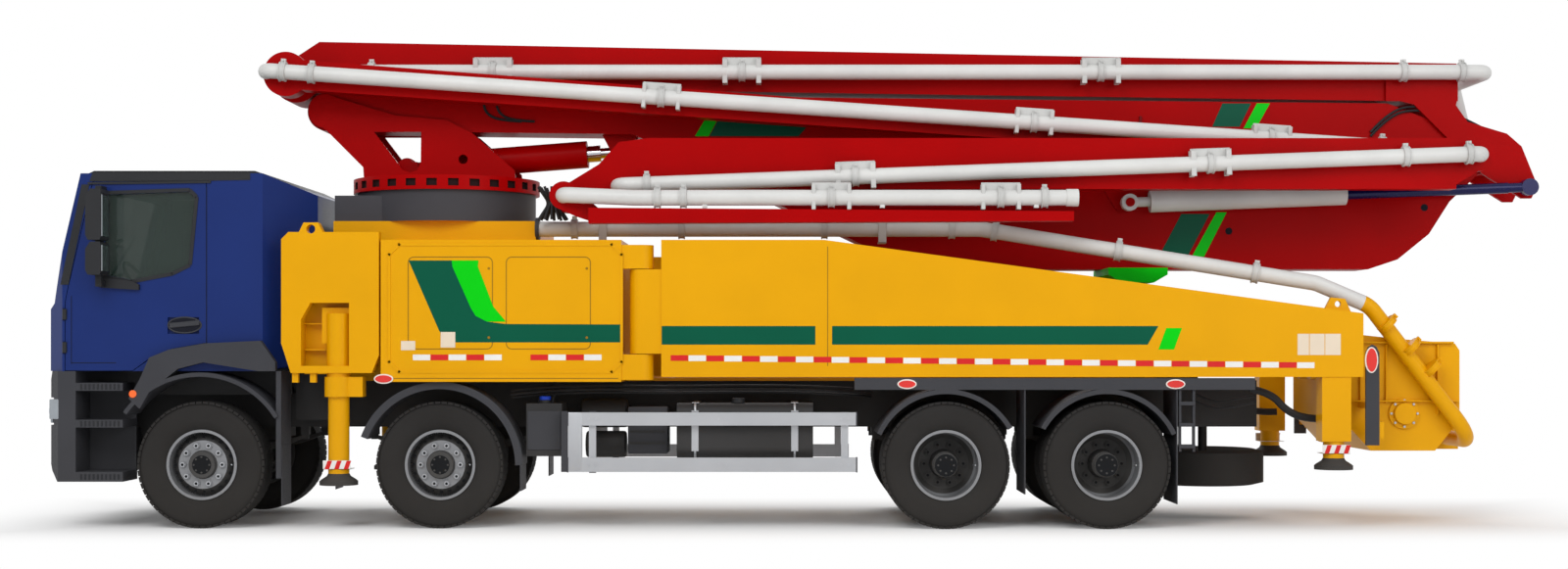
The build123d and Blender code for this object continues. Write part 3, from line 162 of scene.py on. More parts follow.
def finish(name, colour, roughness=0.4, metallic=0.0, coat=0.0, mottle=0.06, grain=60.0, bump=0.0,
           bump_scale=250.0, dust=0.0, sheen=0.0, gleam=0.25):
    """A painted, moulded or metal finish with a mottled colour, uneven gloss, low dust and fine relief."""
    material = bpy.data.materials.new(name)
    material.use_nodes = True
    tree = material.node_tree
    place = node(tree, "ShaderNodeTexCoord").outputs["Object"]

    def noise(scale, detail=2.0):
        return node(tree, "ShaderNodeTexNoise", {"Vector": place, "Scale": scale, "Detail": detail}).outputs["Fac"]

    shade = node(tree, "ShaderNodeValToRGB", {"Fac": noise(1.7, 5.0)})
    for stop, position, share in zip(shade.color_ramp.elements, (0.3, 0.7), (1 - mottle, 1 + mottle)):
        stop.position = position
        stop.color = (*[min(1, c * share) for c in colour], 1)
    base = shade.outputs["Color"]
    if dust:
        height = node(tree, "ShaderNodeSeparateXYZ", {"Vector": place}).outputs["Z"]
        fade = node(tree, "ShaderNodeMapRange", {"Value": height, "From Min": 1.5, "From Max": 0.1, "To Max": dust})
        film = node(tree, "ShaderNodeMix", {"Factor": fade, 6: base, 7: (0.2, 0.17, 0.13, 1)}, data_type="RGBA")
        base = film.outputs[2]
    gloss = node(tree, "ShaderNodeMapRange", {"Value": noise(grain, 3.0), "To Min": max(0.02, roughness - 0.06),
                                              "To Max": min(1.0, roughness + 0.08)})
    surface = {"Metallic": metallic, "Coat Weight": coat, "Coat Roughness": 0.08, "Sheen Weight": sheen,
               "Specular IOR Level": gleam, "Base Color": base, "Roughness": gloss}
    if bump:
        surface["Normal"] = node(tree, "ShaderNodeBump",
                                 {"Height": noise(bump_scale), "Strength": bump, "Distance": 0.002})
    shader = tree.nodes["Principled BSDF"]
    for socket, source in surface.items():
        feed(tree, shader.inputs[socket], source)
    material.diffuse_color = (*colour, 1)
    finishes[name] = material
    return shader


def window_glass(name, colour, alpha):
    """Tinted glass that shows the room behind it."""
    finish(name, colour, 0.06, coat=0.4, mottle=0.1).inputs["Alpha"].default_value = alpha
    finishes[name].surface_render_method = "BLENDED"


def lamp_lens(name, colour, glow):
    """Ribbed lens of a lamp or a reflector, glowing with its own light; on a reflector the glow is painted light."""
    shader = finish(name, colour, 0.15, coat=0.8, mottle=0.15, grain=140.0, bump=0.25, bump_scale=120.0)
    shader.inputs["Emission Color"].default_value = (*colour, 1)
    shader.inputs["Emission Strength"].default_value = glow


# ------------------------------------------------------------------ mesh work
def aimed(place, axis):
    """The matrix that turns Z to an axis and moves the origin to a place."""
    return Matrix.Translation(place) @ axis.to_track_quat("Z", "Y").to_matrix().to_4x4()


def ellipse(x, z, half, tall, steps=28):
    """Points round an ellipse in X and Z."""
    return [(x + half * cos(2 * pi * i / steps), z + tall * sin(2 * pi * i / steps)) for i in range(steps)]


class Piece:
    """One piece of the truck, gathered from simple solids and then set to ride on its body.

    Places are given in positive Y: with sign -1 they are mirrored to the left side.
    """

    def __init__(self, name, body, slot_name, *materials, sign=1):
        self.name, self.body, self.slot_name, self.sign = name, body, slot_name, sign
        self.mesh = bmesh.new()
        self.materials = list(materials)

    def mirror(self, place):
        return Vector((place[0], place[1] * self.sign, place[2]))

    def take(self, other, *look):
        """Add a closed bmesh. Its look is a finish, or else the piece's first one, then a bevel and its segments."""
        if not (look and isinstance(look[0], str)):
            look = (self.materials[0], *look)
        material, bevel, segments = (*look, *(0, 1)[len(look) - 1:])
        if bevel:
            sharp = [e for e in other.edges if e.is_manifold and e.calc_face_angle(0) > 0.6]
            bmesh.ops.bevel(other, geom=sharp, offset=bevel, offset_type="OFFSET", segments=segments,
                            profile=0.6, affect="EDGES", clamp_overlap=True)
        bmesh.ops.recalc_face_normals(other, faces=other.faces)
        if material not in self.materials:
            self.materials.append(material)
        index = self.materials.index(material)
        for face in other.faces:
            face.material_index = index
        scratch = bpy.data.meshes.new("scratch")
        other.to_mesh(scratch)
        other.free()
        self.mesh.from_mesh(scratch)
        bpy.data.meshes.remove(scratch)

    def box(self, x, y, z, *look):
        """A box between two stations on each axis."""
        spans = (x, sorted(station * self.sign for station in y), z)
        made = bmesh.new()
        bmesh.ops.create_cube(made, size=1)
        bmesh.ops.scale(made, vec=[high - low for low, high in spans], verts=made.verts)
        bmesh.ops.translate(made, vec=[(low + high) / 2 for low, high in spans], verts=made.verts)
        self.take(made, *look)

    def bar(self, centre, along, across, up, *look):
        """A box given by its centre and three half sizes as vectors."""
        made = bmesh.new()
        bmesh.ops.create_cube(made, size=2)
        for vertex in made.verts:
            a, b, c = vertex.co
            vertex.co = self.mirror(centre) + Vector(along) * a + Vector(across) * b + Vector(up) * c
        self.take(made, *look)

    def plate(self, outline, y, *look):
        """An outline in X and Z, extruded between two Y stations."""
        made = bmesh.new()
        near, far = ([made.verts.new((x, station, z)) for x, z in outline]
                     for station in sorted(station * self.sign for station in y))
        made.faces.new(near)
        made.faces.new(far[::-1])
        for i in range(len(outline)):
            j = (i + 1) % len(outline)
            made.faces.new((near[i], near[j], far[j], far[i]))
        self.take(made, *look)

    def edging(self, corners, y, width, lap, *look):
        """A strip along each side of a closed outline, on the left of its direction."""
        for (ax, az), (bx, bz) in zip(corners, corners[1:] + corners[:1]):
            length = hypot(bx - ax, bz - az)
            ux, uz = (bx - ax) / length, (bz - az) / length
            ax, az, bx, bz = ax - ux * lap, az - uz * lap, bx + ux * lap, bz + uz * lap
            self.plate([(ax, az), (bx, bz), (bx - uz * width, bz + ux * width),
                        (ax - uz * width, az + ux * width)], y, *look)

    def drum(self, centre, axis, radius, length, *look, facets=24):
        """A cylinder from centre along axis."""
        axis = self.mirror(axis)
        made = bmesh.new()
        bmesh.ops.create_cone(made, cap_ends=True, segments=facets, radius1=radius, radius2=radius, depth=length)
        middle = self.mirror(centre) + axis.normalized() * length / 2
        bmesh.ops.transform(made, matrix=aimed(middle, axis), verts=made.verts)
        self.take(made, *look)

    def spin(self, profile, centre, axis, *look, steps=48):
        """Revolve a closed (along, radius) profile about an axis."""
        made = bmesh.new()
        turn = aimed(self.mirror(centre), self.mirror(axis))
        rings = []
        for i in range(steps):
            a = 2 * pi * i / steps
            rings.append([made.verts.new(turn @ Vector((r * cos(a), r * sin(a), h))) for h, r in profile])
        for i in range(steps):
            here, there = rings[i], rings[(i + 1) % steps]
            for k in range(len(profile)):
                m = (k + 1) % len(profile)
                if profile[k][1] > 0 or profile[m][1] > 0:
                    made.faces.new((here[k], here[m], there[m], there[k]))
        bmesh.ops.remove_doubles(made, verts=made.verts, dist=1e-6)
        self.take(made, *look)

    def tube(self, points, radius, *look, order=3):
        """A hose or pipe along a smooth line through control points."""
        curve = bpy.data.curves.new("line", "CURVE")
        curve.dimensions = "3D"
        curve.bevel_depth = radius
        curve.bevel_resolution = 2
        curve.use_fill_caps = True
        line = curve.splines.new("NURBS")
        line.points.add(len(points) - 1)
        for knot, place in zip(line.points, points):
            knot.co = (*self.mirror(place), 1)
        line.order_u = order
        line.use_endpoint_u = True
        line.resolution_u = 6
        holder = bpy.data.objects.new("line", curve)
        scratch = bpy.data.meshes.new_from_object(holder)
        made = bmesh.new()
        made.from_mesh(scratch)
        bpy.data.objects.remove(holder)
        bpy.data.meshes.remove(scratch)
        bmesh.ops.remove_doubles(made, verts=made.verts, dist=1e-6)
        self.take(made, *look)

    def grow(self, tree, material, centre=(0, 0, 0), axis=None, roll=0.0, **sizes):
        """Add the plain mesh that a tree makes from its inputs, its Z turned to an axis."""
        seed = bpy.data.meshes.new("seed")
        holder = bpy.data.objects.new("seed", seed)
        bpy.context.scene.collection.objects.link(holder)
        modifier = holder.modifiers.new("tree", "NODES")
        modifier.node_group = trees[tree]
        sizes["material"] = finishes[material]
        for item in trees[tree].interface.items_tree:
            label = item.name.lower().replace(" ", "_")
            if item.item_type == "SOCKET" and item.in_out == "INPUT" and label in sizes:
                modifier[item.identifier] = sizes[label]
        holder.update_tag()
        grown = bpy.data.meshes.new_from_object(holder.evaluated_get(bpy.context.evaluated_depsgraph_get()))
        bpy.data.objects.remove(holder)
        bpy.data.meshes.remove(seed)
        if axis:
            grown.transform(aimed(self.mirror(centre), self.mirror(axis)) @ Matrix.Rotation(roll, 4, "Z"))
        made = bmesh.new()
        made.from_mesh(grown)
        self.take(made, material)

    def done(self, smooth=smooth_angle, stands_for=()):
        """Turn the gathered solids into an object that rides on its body."""
        if smooth:
            for face in self.mesh.faces:
                face.smooth = True
            for edge in self.mesh.edges:
                edge.smooth = edge.is_manifold and edge.calc_face_angle(0) < radians(smooth)
        data = bpy.data.meshes.new(self.name)
        self.mesh.to_mesh(data)
        self.mesh.free()
        for material in self.materials:
            data.materials.append(finishes[material])
        made = bpy.data.objects.new(self.name, data)
        bpy.context.scene.collection.objects.link(made)
        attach(made, self.body)
        if stands_for:
            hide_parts(*stands_for)
        return made


def pair(name, body, slot_name, *materials, smooth=smooth_angle):
    """Yield the left and the right piece of a mirrored pair to fill, and finish each after its turn."""
    for side, sign in sides:
        piece = Piece(f"{name}_{side}", body.format(side), slot_name, *materials, sign=sign)
        yield piece
        piece.done(smooth)


# ------------------------------------------------------------------ trees that repeat small parts
class Tree:
    """A small builder of Geometry Nodes trees with named inputs."""

    def __init__(self, name, **sockets):
        self.group = bpy.data.node_groups.new(name, "GeometryNodeTree")
        face = self.group.interface
        for label, (kind, value) in {**sockets, "material": ("Material", None)}.items():
            socket = face.new_socket(name=label.replace("_", " ").capitalize(), in_out="INPUT",
                                     socket_type="NodeSocket" + kind)
            if value is not None:
                socket.default_value = value
        face.new_socket(name="Geometry", in_out="OUTPUT", socket_type="NodeSocketGeometry")
        self.start = self.group.nodes.new("NodeGroupInput")
        self.end = self.group.nodes.new("NodeGroupOutput")

    def add(self, kind, inputs=None, **settings):
        """Add a node, where a text names one of the tree's own inputs."""
        fed = {socket: self.start.outputs[source] if isinstance(source, str) else source
               for socket, source in (inputs or {}).items()}
        return node(self.group, kind, fed, **settings)

    def math(self, operation, first, second):
        return self.add("ShaderNodeMath", {0: first, 1: second}, operation=operation)

    def along(self, axis, distance):
        return self.add("ShaderNodeCombineXYZ", {axis: distance})

    def copies(self, points, instance, **turn):
        return self.add("GeometryNodeInstanceOnPoints", {"Points": points, "Instance": instance, **turn})

    def close(self, geometry):
        """End in Realize Instances and Set Material."""
        solid = self.add("GeometryNodeRealizeInstances", {"Geometry": geometry})
        painted = self.add("GeometryNodeSetMaterial", {"Geometry": solid, "Material": "Material"})
        feed(self.group, self.end.inputs["Geometry"], painted)
        return self.group


def ring_of_nuts():
    """Nuts in a circle about Z, each a short prism."""
    tree = Tree("ring of nuts", count=("Int", 10), circle_radius=("Float", 0.1), nut_radius=("Float", 0.02),
                nut_height=("Float", 0.02), nut_sides=("Int", 6))
    circle = tree.add("GeometryNodeMeshCircle", {"Vertices": "Count", "Radius": "Circle radius"})
    nut = tree.add("GeometryNodeMeshCylinder",
                   {"Vertices": "Nut sides", "Radius": "Nut radius", "Depth": "Nut height"})
    return tree.close(tree.copies(circle, nut))


def row_of_bars():
    """Equal boxes in a straight row."""
    tree = Tree("row of bars", count=("Int", 5), start=("Vector", None), step=("Vector", None),
                size=("Vector", None))
    row = tree.add("GeometryNodeMeshLine", {"Count": "Count", "Start Location": "Start", "Offset": "Step"})
    return tree.close(tree.copies(row, tree.add("GeometryNodeMeshCube", {"Size": "Size"})))


def ring_of_blocks():
    """Tread blocks round a tyre about Z, each turned to face outwards."""
    tree = Tree("ring of blocks", count=("Int", 50), circle_radius=("Float", 0.5), size=("Vector", None),
                height=("Float", 0.0), turn=("Float", 0.0))
    circle = tree.add("GeometryNodeCurvePrimitiveCircle", {"Resolution": "Count", "Radius": "Circle radius"})
    points = tree.add("GeometryNodeCurveToPoints", {"Curve": circle, "Count": "Count"})
    blocks = tree.copies(points, tree.add("GeometryNodeMeshCube", {"Size": "Size"}),
                         Rotation=points.outputs["Rotation"])
    return tree.close(tree.add("GeometryNodeTransform", {
        "Geometry": blocks, "Translation": tree.along("Z", "Height"), "Rotation": tree.along("Z", "Turn")}))


def pipe_clamp():
    """A pipe coupling about Z: a wide ring, two lips, and a lug with its bolt at the side."""
    tree = Tree("pipe clamp", pipe_radius=("Float", 0.0665), reach=("Float", 0.015), width=("Float", 0.055))
    outer = tree.math("ADD", "Pipe radius", "Reach")
    lip_radius = tree.math("ADD", outer, 0.006)
    ring = tree.add("GeometryNodeMeshCylinder", {"Vertices": 28, "Radius": outer, "Depth": "Width"})
    lip_line = tree.add("GeometryNodeMeshLine", {
        "Count": 2, "Start Location": tree.along("Z", tree.math("MULTIPLY", "Width", -0.42)),
        "Offset": tree.along("Z", tree.math("MULTIPLY", "Width", 0.84))})
    lips = tree.copies(lip_line, tree.add("GeometryNodeMeshCylinder",
                                          {"Vertices": 28, "Radius": lip_radius, "Depth": 0.009}))
    lug = tree.add("GeometryNodeTransform", {
        "Geometry": tree.add("GeometryNodeMeshCube", {"Size": (0.05, 0.034, 0.04)}),
        "Translation": tree.along("X", lip_radius)})
    bolt = tree.add("GeometryNodeTransform", {
        "Geometry": tree.add("GeometryNodeMeshCylinder", {"Vertices": 8, "Radius": 0.009, "Depth": 0.07}),
        "Translation": tree.along("X", tree.math("ADD", lip_radius, 0.012)), "Rotation": (pi / 2, 0, 0)})
    joined = tree.add("GeometryNodeJoinGeometry")
    for part in (bolt, lug, lips, ring):
        feed(tree.group, joined.inputs["Geometry"], part)
    return tree.close(joined)


# ------------------------------------------------------------------ CAD nodes
def outer_face(x, z, sign):
    """How far out the fixed nodes reach on one side, at a place in X and Z."""
    reach = 0.0
    for name in ("chassis_frame", "fenders", "side_gear", "body_box", "pedestal"):
        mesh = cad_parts[name].data
        skin = BVHTree.FromPolygons([v.co for v in mesh.vertices], [p.vertices for p in mesh.polygons])
        place = skin.ray_cast(Vector((x, sign * 3, z)), Vector((0, -sign, 0)))[0]
        if place:
            reach = max(reach, place.y * sign)
    return reach or body_side


def dress(name, *materials):
    """Give a CAD node its materials, the first one everywhere."""
    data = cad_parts[name].data
    data.materials.clear()
    for material in materials:
        data.materials.append(finishes[material])
    for polygon in data.polygons:
        polygon.material_index = 0


def dress_where(name, index, test):
    """Use one of a node's materials on the faces whose centre and normal pass a test."""
    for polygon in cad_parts[name].data.polygons:
        if test(polygon.center, polygon.normal):
            polygon.material_index = index


# ------------------------------------------------------------------ operators
class PUMPTRUCK_OT_finishes(bpy.types.Operator):
    """Make the finishes and the trees that repeat small parts."""

    bl_idname = "pumptruck.finishes"
    bl_label = "Finishes"

    def execute(self, context):
        paint = context.scene.truck_paint
        for name, colour, roughness, look in (
            ("cab blue", paint.cab, 0.32, dict(coat=0.05, mottle=0.05, gleam=0.12)),
            ("body yellow", paint.body, 0.36, dict(coat=0.03, mottle=0.03, dust=0.03, gleam=0.1)),
            ("boom red", paint.boom, 0.38, dict(gleam=0.05)),
            ("stripe green", paint.stripe, 0.35, dict(mottle=0.04, gleam=0.1)),
            ("accent green", paint.accent, 0.35, dict(mottle=0.03, gleam=0.1)),
            ("rest green", paint.accent, 0.5, dict(mottle=0.08, bump=0.1, gleam=0.1)),
            ("pipe white", paint.pipe, 0.38, dict(coat=0.05, mottle=0.07, bump=0.12, bump_scale=40.0)),
            ("clamp white", [c * 0.86 for c in paint.pipe], 0.42, dict(mottle=0.1, bump=0.25, bump_scale=90.0)),
            ("frame black", paint.chassis, 0.55, dict(mottle=0.25, bump=0.15, dust=0.12)),
            ("cast black", [c * 1.1 for c in paint.chassis], 0.7,
             dict(mottle=0.3, bump=0.6, bump_scale=120.0, dust=0.2)),
            ("moulded grey", paint.plastic, 0.62, dict(mottle=0.08, bump=0.4, bump_scale=600.0, dust=0.05)),
            ("skirt grey", paint.skirt, 0.5, dict(mottle=0.08, bump=0.1, gleam=0.12)),
        ):
            finish(name, colour, roughness, **look)
        for name, screen, roughness, look in (
            ("roof black", (34, 35, 38), 0.5, dict(mottle=0.1, bump=0.3, bump_scale=500.0)),
            ("wheel silver", (134, 136, 140), 0.4,
             dict(metallic=0.3, mottle=0.1, bump=0.08, bump_scale=90.0, dust=0.12)),
            # dark grey: painted shade on the rims' centres and deep faces and on the twin wheels' nuts; also the
            # hubs' small nuts
            ("wheel dark", (54, 55, 57), 0.6, dict(mottle=0.2, bump=0.2, dust=0.15)),
            ("nut steel", (176, 178, 182), 0.32, dict(metallic=0.8, mottle=0.15)),
            ("rod navy", (12, 14, 70), 0.25, dict(metallic=0.2, coat=0.1)),
            ("rod chrome", (190, 190, 196), 0.12, dict(metallic=1.0, mottle=0.03)),
            ("rail silver", (176, 178, 182), 0.34, dict(metallic=0.55, bump=0.06, bump_scale=60.0)),
            ("cylinder grey", (204, 205, 205), 0.4, dict(mottle=0.08, bump=0.1, bump_scale=30.0)),
            ("hose black", (34, 34, 36), 0.55, dict(mottle=0.2, bump=0.5, bump_scale=900.0)),
            ("rubber", (40, 39, 39), 0.85, dict(mottle=0.14, bump=0.5, bump_scale=350.0, dust=0.05, gleam=0.15)),
            # near black: dark shut lines and joints, and painted shade in the door handles' recesses
            ("shut line", (12, 14, 26), 0.8, dict(mottle=0.1)),
            ("seam yellow", (150, 108, 6), 0.7, dict(mottle=0.1)),
            ("seam red", (108, 0, 4), 0.7, dict(mottle=0.1)),
            ("tape red", (206, 16, 14), 0.3, dict(coat=0.2, bump=0.3, bump_scale=400.0)),
            ("tape white", (228, 226, 222), 0.3, dict(coat=0.2, mottle=0.05, bump=0.3, bump_scale=400.0)),
            ("blank plate", (222, 206, 184), 0.4, dict(mottle=0.04)),
            ("seat cloth", (52, 54, 60), 0.9, dict(mottle=0.2, bump=0.8, bump_scale=900.0, sheen=0.3)),
            ("dash grey", (70, 72, 76), 0.7, dict(mottle=0.1, bump=0.4, bump_scale=700.0)),
            ("cap blue", (20, 60, 180), 0.4, dict(mottle=0.05)),
            ("mirror silver", (200, 206, 212), 0.03, dict(metallic=1.0, mottle=0.01)),
            ("ring shadow", (28, 2, 3), 0.8, dict(mottle=0.2)),
            # near black: painted shade in the nuts' bores and in the holes of the wheel disc; also a single wheel's
            # hub
            ("nut bore", (26, 27, 29), 0.8, dict(mottle=0.2, gleam=0.1)),
            ("lamp rim", (232, 228, 220), 0.4, dict(mottle=0.05)),
            ("line steel", (92, 4, 6), 0.45, dict(mottle=0.1)),
        ):
            finish(name, from_screen(*screen), roughness, **look)
        # the red reflectors are no lamps, so their glow is painted light
        lamp_lens("lens red", from_screen(200, 24, 12), 0.15)
        lamp_lens("lens orange", from_screen(236, 96, 20), 0.25)
        lamp_lens("lens clear", from_screen(138, 144, 150), 0.02)
        window_glass("tinted glass", paint.glass, 0.66)
        trees.update(nuts=ring_of_nuts(), bars=row_of_bars(), blocks=ring_of_blocks(), clamp=pipe_clamp())
        return {"FINISHED"}


class PUMPTRUCK_OT_frame(bpy.types.Operator):
    """Paint the CAD nodes."""

    bl_idname = "pumptruck.frame"
    bl_label = "Painted frame"

    def execute(self, context):
        jacks = "jack_front_left jack_front_right jack_rear_left jack_rear_right"
        for names, *materials in (
            ("cab_shell door_left door_right", "cab blue", "roof black", "seat cloth"),
            ("boom_a boom_b boom_c boom_d boom_e turret luff_barrel", "boom red", "pipe white", "ring shadow"),
            ("rear_arm_left rear_arm_right front_leg_left front_leg_right body_box hopper_grille", "body yellow"),
            ("pedestal", "body yellow", "skirt grey"),
            (jacks, "body yellow", "cast black"),
            ("pipe_a pipe_b pipe_c pipe_d pipe_e", "pipe white"),
            ("deck_pipe", "pipe white", "body yellow"),
            ("chassis_frame", "frame black", "rest green"),
            ("engine_block axles knuckle_1_left knuckle_1_right knuckle_2_left knuckle_2_right", "cast black"),
            ("cab_trim", "moulded grey", "roof black"),
            ("windscreen", "tinted glass"),
            ("fenders", "moulded grey"),
            ("hopper", "body yellow", "moulded grey"),
            ("side_gear", "rail silver", "frame black", "cap blue"),
            ("spare_wheel", "rubber", "frame black"),
            ("fold_barrel", "cylinder grey"),
            ("fold_rod", "rod navy"),
            ("luff_rod", "rod chrome"),
        ):
            for name in names.split():
                dress(name, *materials)
        low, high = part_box("spare_wheel")
        spare_middle = (low.x + high.x) / 2
        for names, index, test in (
            ("cab_shell", 1, lambda c, n: n.z > 0.9 and c.z > 2.9),
            ("door_left door_right", 1, lambda c, n: abs(c.y) > 1.1505),
            ("door_left door_right", 2, lambda c, n: abs(c.y) < 1.0905 and abs(n.y) > 0.9),
            ("turret", 1, lambda c, n: c.y > 0.48 and c.x < -3.55 and c.z > 3.02),
            ("turret", 2, lambda c, n: c.z < 3.02 and abs(n.z) < 0.5
             and 0.79 < hypot(c.x - slew_middle, c.y) < 0.819),
            ("pedestal", 1, lambda c, n: c.z > 2.621),
            ("deck_pipe", 1, lambda c, n: c.x > 4.66),
            ("chassis_frame", 1, lambda c, n: c.z > 2.0),
            ("cab_trim", 1, lambda c, n: c.z > 2.9),
            ("hopper", 1, lambda c, n: abs(c.y) > 1.18 and c.z > 0.7 and 4.65 < c.x < 4.77),
            ("side_gear", 1, lambda c, n: abs(c.y) < 1.16),
            ("spare_wheel", 1, lambda c, n: hypot(c.x - spare_middle, c.y) < 0.285),
        ):
            for name in names.split():
                dress_where(name, index, test)
        for name in jacks.split():
            foot_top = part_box(name)[0].z + foot_height
            dress_where(name, 1, lambda c, n: c.z < foot_top)
        return {"FINISHED"}


class PUMPTRUCK_OT_wheels(bpy.types.Operator):
    """Make the tyres with their tread, and the nuts, hubs and bright rings of the wheels."""

    bl_idname = "pumptruck.wheels"
    bl_label = "Tyres and wheels"

    def execute(self, context):
        wheel = context.scene.truck_wheels
        for axle in "1234":
            for side, sign in sides:
                self.tyre(wheel, axle, side)
                self.rim(wheel, axle, side, sign)
        return {"FINISHED"}

    def tyre(self, wheel, axle, side):
        """A tyre or a twin pair, with ribs round its tread and blocks at its shoulders."""
        name = f"tyre_{axle}_{side}"
        low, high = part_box(name)
        x, z = (low.x + high.x) / 2, (low.z + high.z) / 2
        radius, half, groove = (high.z - low.z) / 2, tyre_width / 2, wheel.groove
        floor, crown, rib_half, slope = radius - groove, radius - 0.001, 0.019, 0.003
        flank = [
            (-0.118, 0.2865), (-0.119, 0.3), (-0.13, 0.312), (-0.148, 0.345), (-0.154, 0.372), (-0.1565, 0.405),
            (-0.1575, 0.44), (-0.1545, 0.478), (-0.148, 0.5), (-half + 0.016, floor - 0.006),
        ]
        profile = list(flank)
        for rib in (-0.096, -0.05, 0.0, 0.05, 0.096):
            profile += [(rib - rib_half - slope, floor), (rib - rib_half, crown), (rib + rib_half, crown),
                        (rib + rib_half + slope, floor)]
        profile += [(-h, r) for h, r in reversed(flank)]
        piece = Piece(f"tyre_tread_{axle}_{side}", f"wheel_{axle}_{side}", "tyre", "rubber")
        for middle in [(low.y + high.y) / 2] if axle in "12" else [low.y + half, high.y - half]:
            piece.spin(profile, (x, middle, z), (0, 1, 0), steps=72)
            for end in (-1, 1):
                piece.grow("blocks", "rubber", (x, middle, z), (0, 1, 0), count=wheel.tread_blocks,
                           circle_radius=radius - groove / 2 - 0.0036, size=(groove + 0.006, 0.038, 0.0475),
                           height=end * (half - 0.0215), turn=0.03 * end)
        piece.done(smooth=30, stands_for=(name,))

    def rim(self, wheel, axle, side, sign):
        """A silver rim with painted shade in dark grey on its centre, its deep faces and, on a single wheel, the
        band round its holes; and its nuts, hub and valve.
        """
        name = f"rim_{axle}_{side}"
        low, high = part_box(name)
        x, z = (low.x + high.x) / 2, (low.z + high.z) / 2
        outer = high.y if sign > 0 else -low.y
        single = axle in "12"

        # faces that get painted shade: the rim's centre, on a single wheel the band round its holes, and the faces
        # deep in the dish
        def in_shadow(centre, normal):
            spread, reach = hypot(centre.x - x, centre.z - z), centre.y * sign
            if single:
                return spread < 0.121 or 0.206 < spread < 0.268 or reach < outer - 0.16
            return spread < 0.214 or reach < outer - 0.24

        dress(name, "wheel silver", "wheel dark")
        dress_where(name, 1, in_shadow)
        gear = Piece(f"wheel_nuts_{axle}_{side}", f"wheel_{axle}_{side}", "rim_paint", "nut steel", "wheel dark",
                     "wheel silver", sign=sign)

        def nuts(material, reach, count, circle, radius, height, facets):
            gear.grow("nuts", material, (x, reach, z), (0, 1, 0), count=count, circle_radius=circle,
                      nut_radius=radius, nut_height=height, nut_sides=facets)

        face = outer - (0.042 if single else 0.286)
        circle, radius = wheel.nut_circle / 2, wheel.nut_radius
        # a twin wheel's nuts and washers sit deep in its dish and are dark grey as painted shade; a single wheel's
        # are steel and silver
        nuts("nut steel" if single else "wheel dark", face, wheel.nuts, circle, radius, 0.05, 6)
        nuts("wheel silver" if single else "wheel dark", face, wheel.nuts, circle, radius + 0.008, 0.022, 16)
        # the near-black bores are painted shade inside the nuts
        nuts("nut bore", face, wheel.nuts, circle, radius * 0.55, 0.056, 12)
        if single:
            # near-black dots: painted shade in the holes of a single wheel's disc
            nuts("nut bore", outer - 0.07, 20, 0.233, 0.012, 0.004, 12)
        gear.drum((x, outer - 0.024, z), (0, 1, 0), 0.085 if single else 0.1, 0.022,
                  "nut bore" if single else "wheel dark", 0.006, facets=32)
        gear.drum((x, outer - 0.003, z), (0, 1, 0), 0.08 if single else 0.094, 0.007, "nut bore", 0.002,
                  facets=32)
        nuts("wheel dark", outer, 8, 0.066, 0.009, 0.012, 6)
        gear.tube([(x + 0.235, outer - 0.06, z), (x + 0.245, outer - 0.03, z), (x + 0.25, outer - 0.015, z)], 0.006)
        gear.done()


class PUMPTRUCK_OT_glazing(bpy.types.Operator):
    """Glaze the cab and seal its windows."""

    bl_idname = "pumptruck.glazing"
    bl_label = "Glass and seals"

    def execute(self, context):
        window = [(-5.963, 2.14), (-5.963, 2.815), (-5.245, 2.84), (-5.195, 2.79), (-5.25, 2.23),
                  (-5.393, 2.16), (-5.731, 2.095)]
        for glass in pair("door_glass", "door_{}", "glass", "tinted glass", smooth=0):
            glass.plate(window, (1.118, 1.124))
        for seal in pair("window_seal", "door_{}", "black_plastic", "roof black"):
            seal.edging(window, (cab_side, 1.156), 0.03, 0.006)
        for mirror in pair("mirror_glass", "door_{}", "glass", "mirror silver"):
            for levels in ((2.16, 2.38), (2.45, 2.8)):
                mirror.box((-5.906, -5.896), (1.235, 1.4), levels, 0.003)
        return {"FINISHED"}


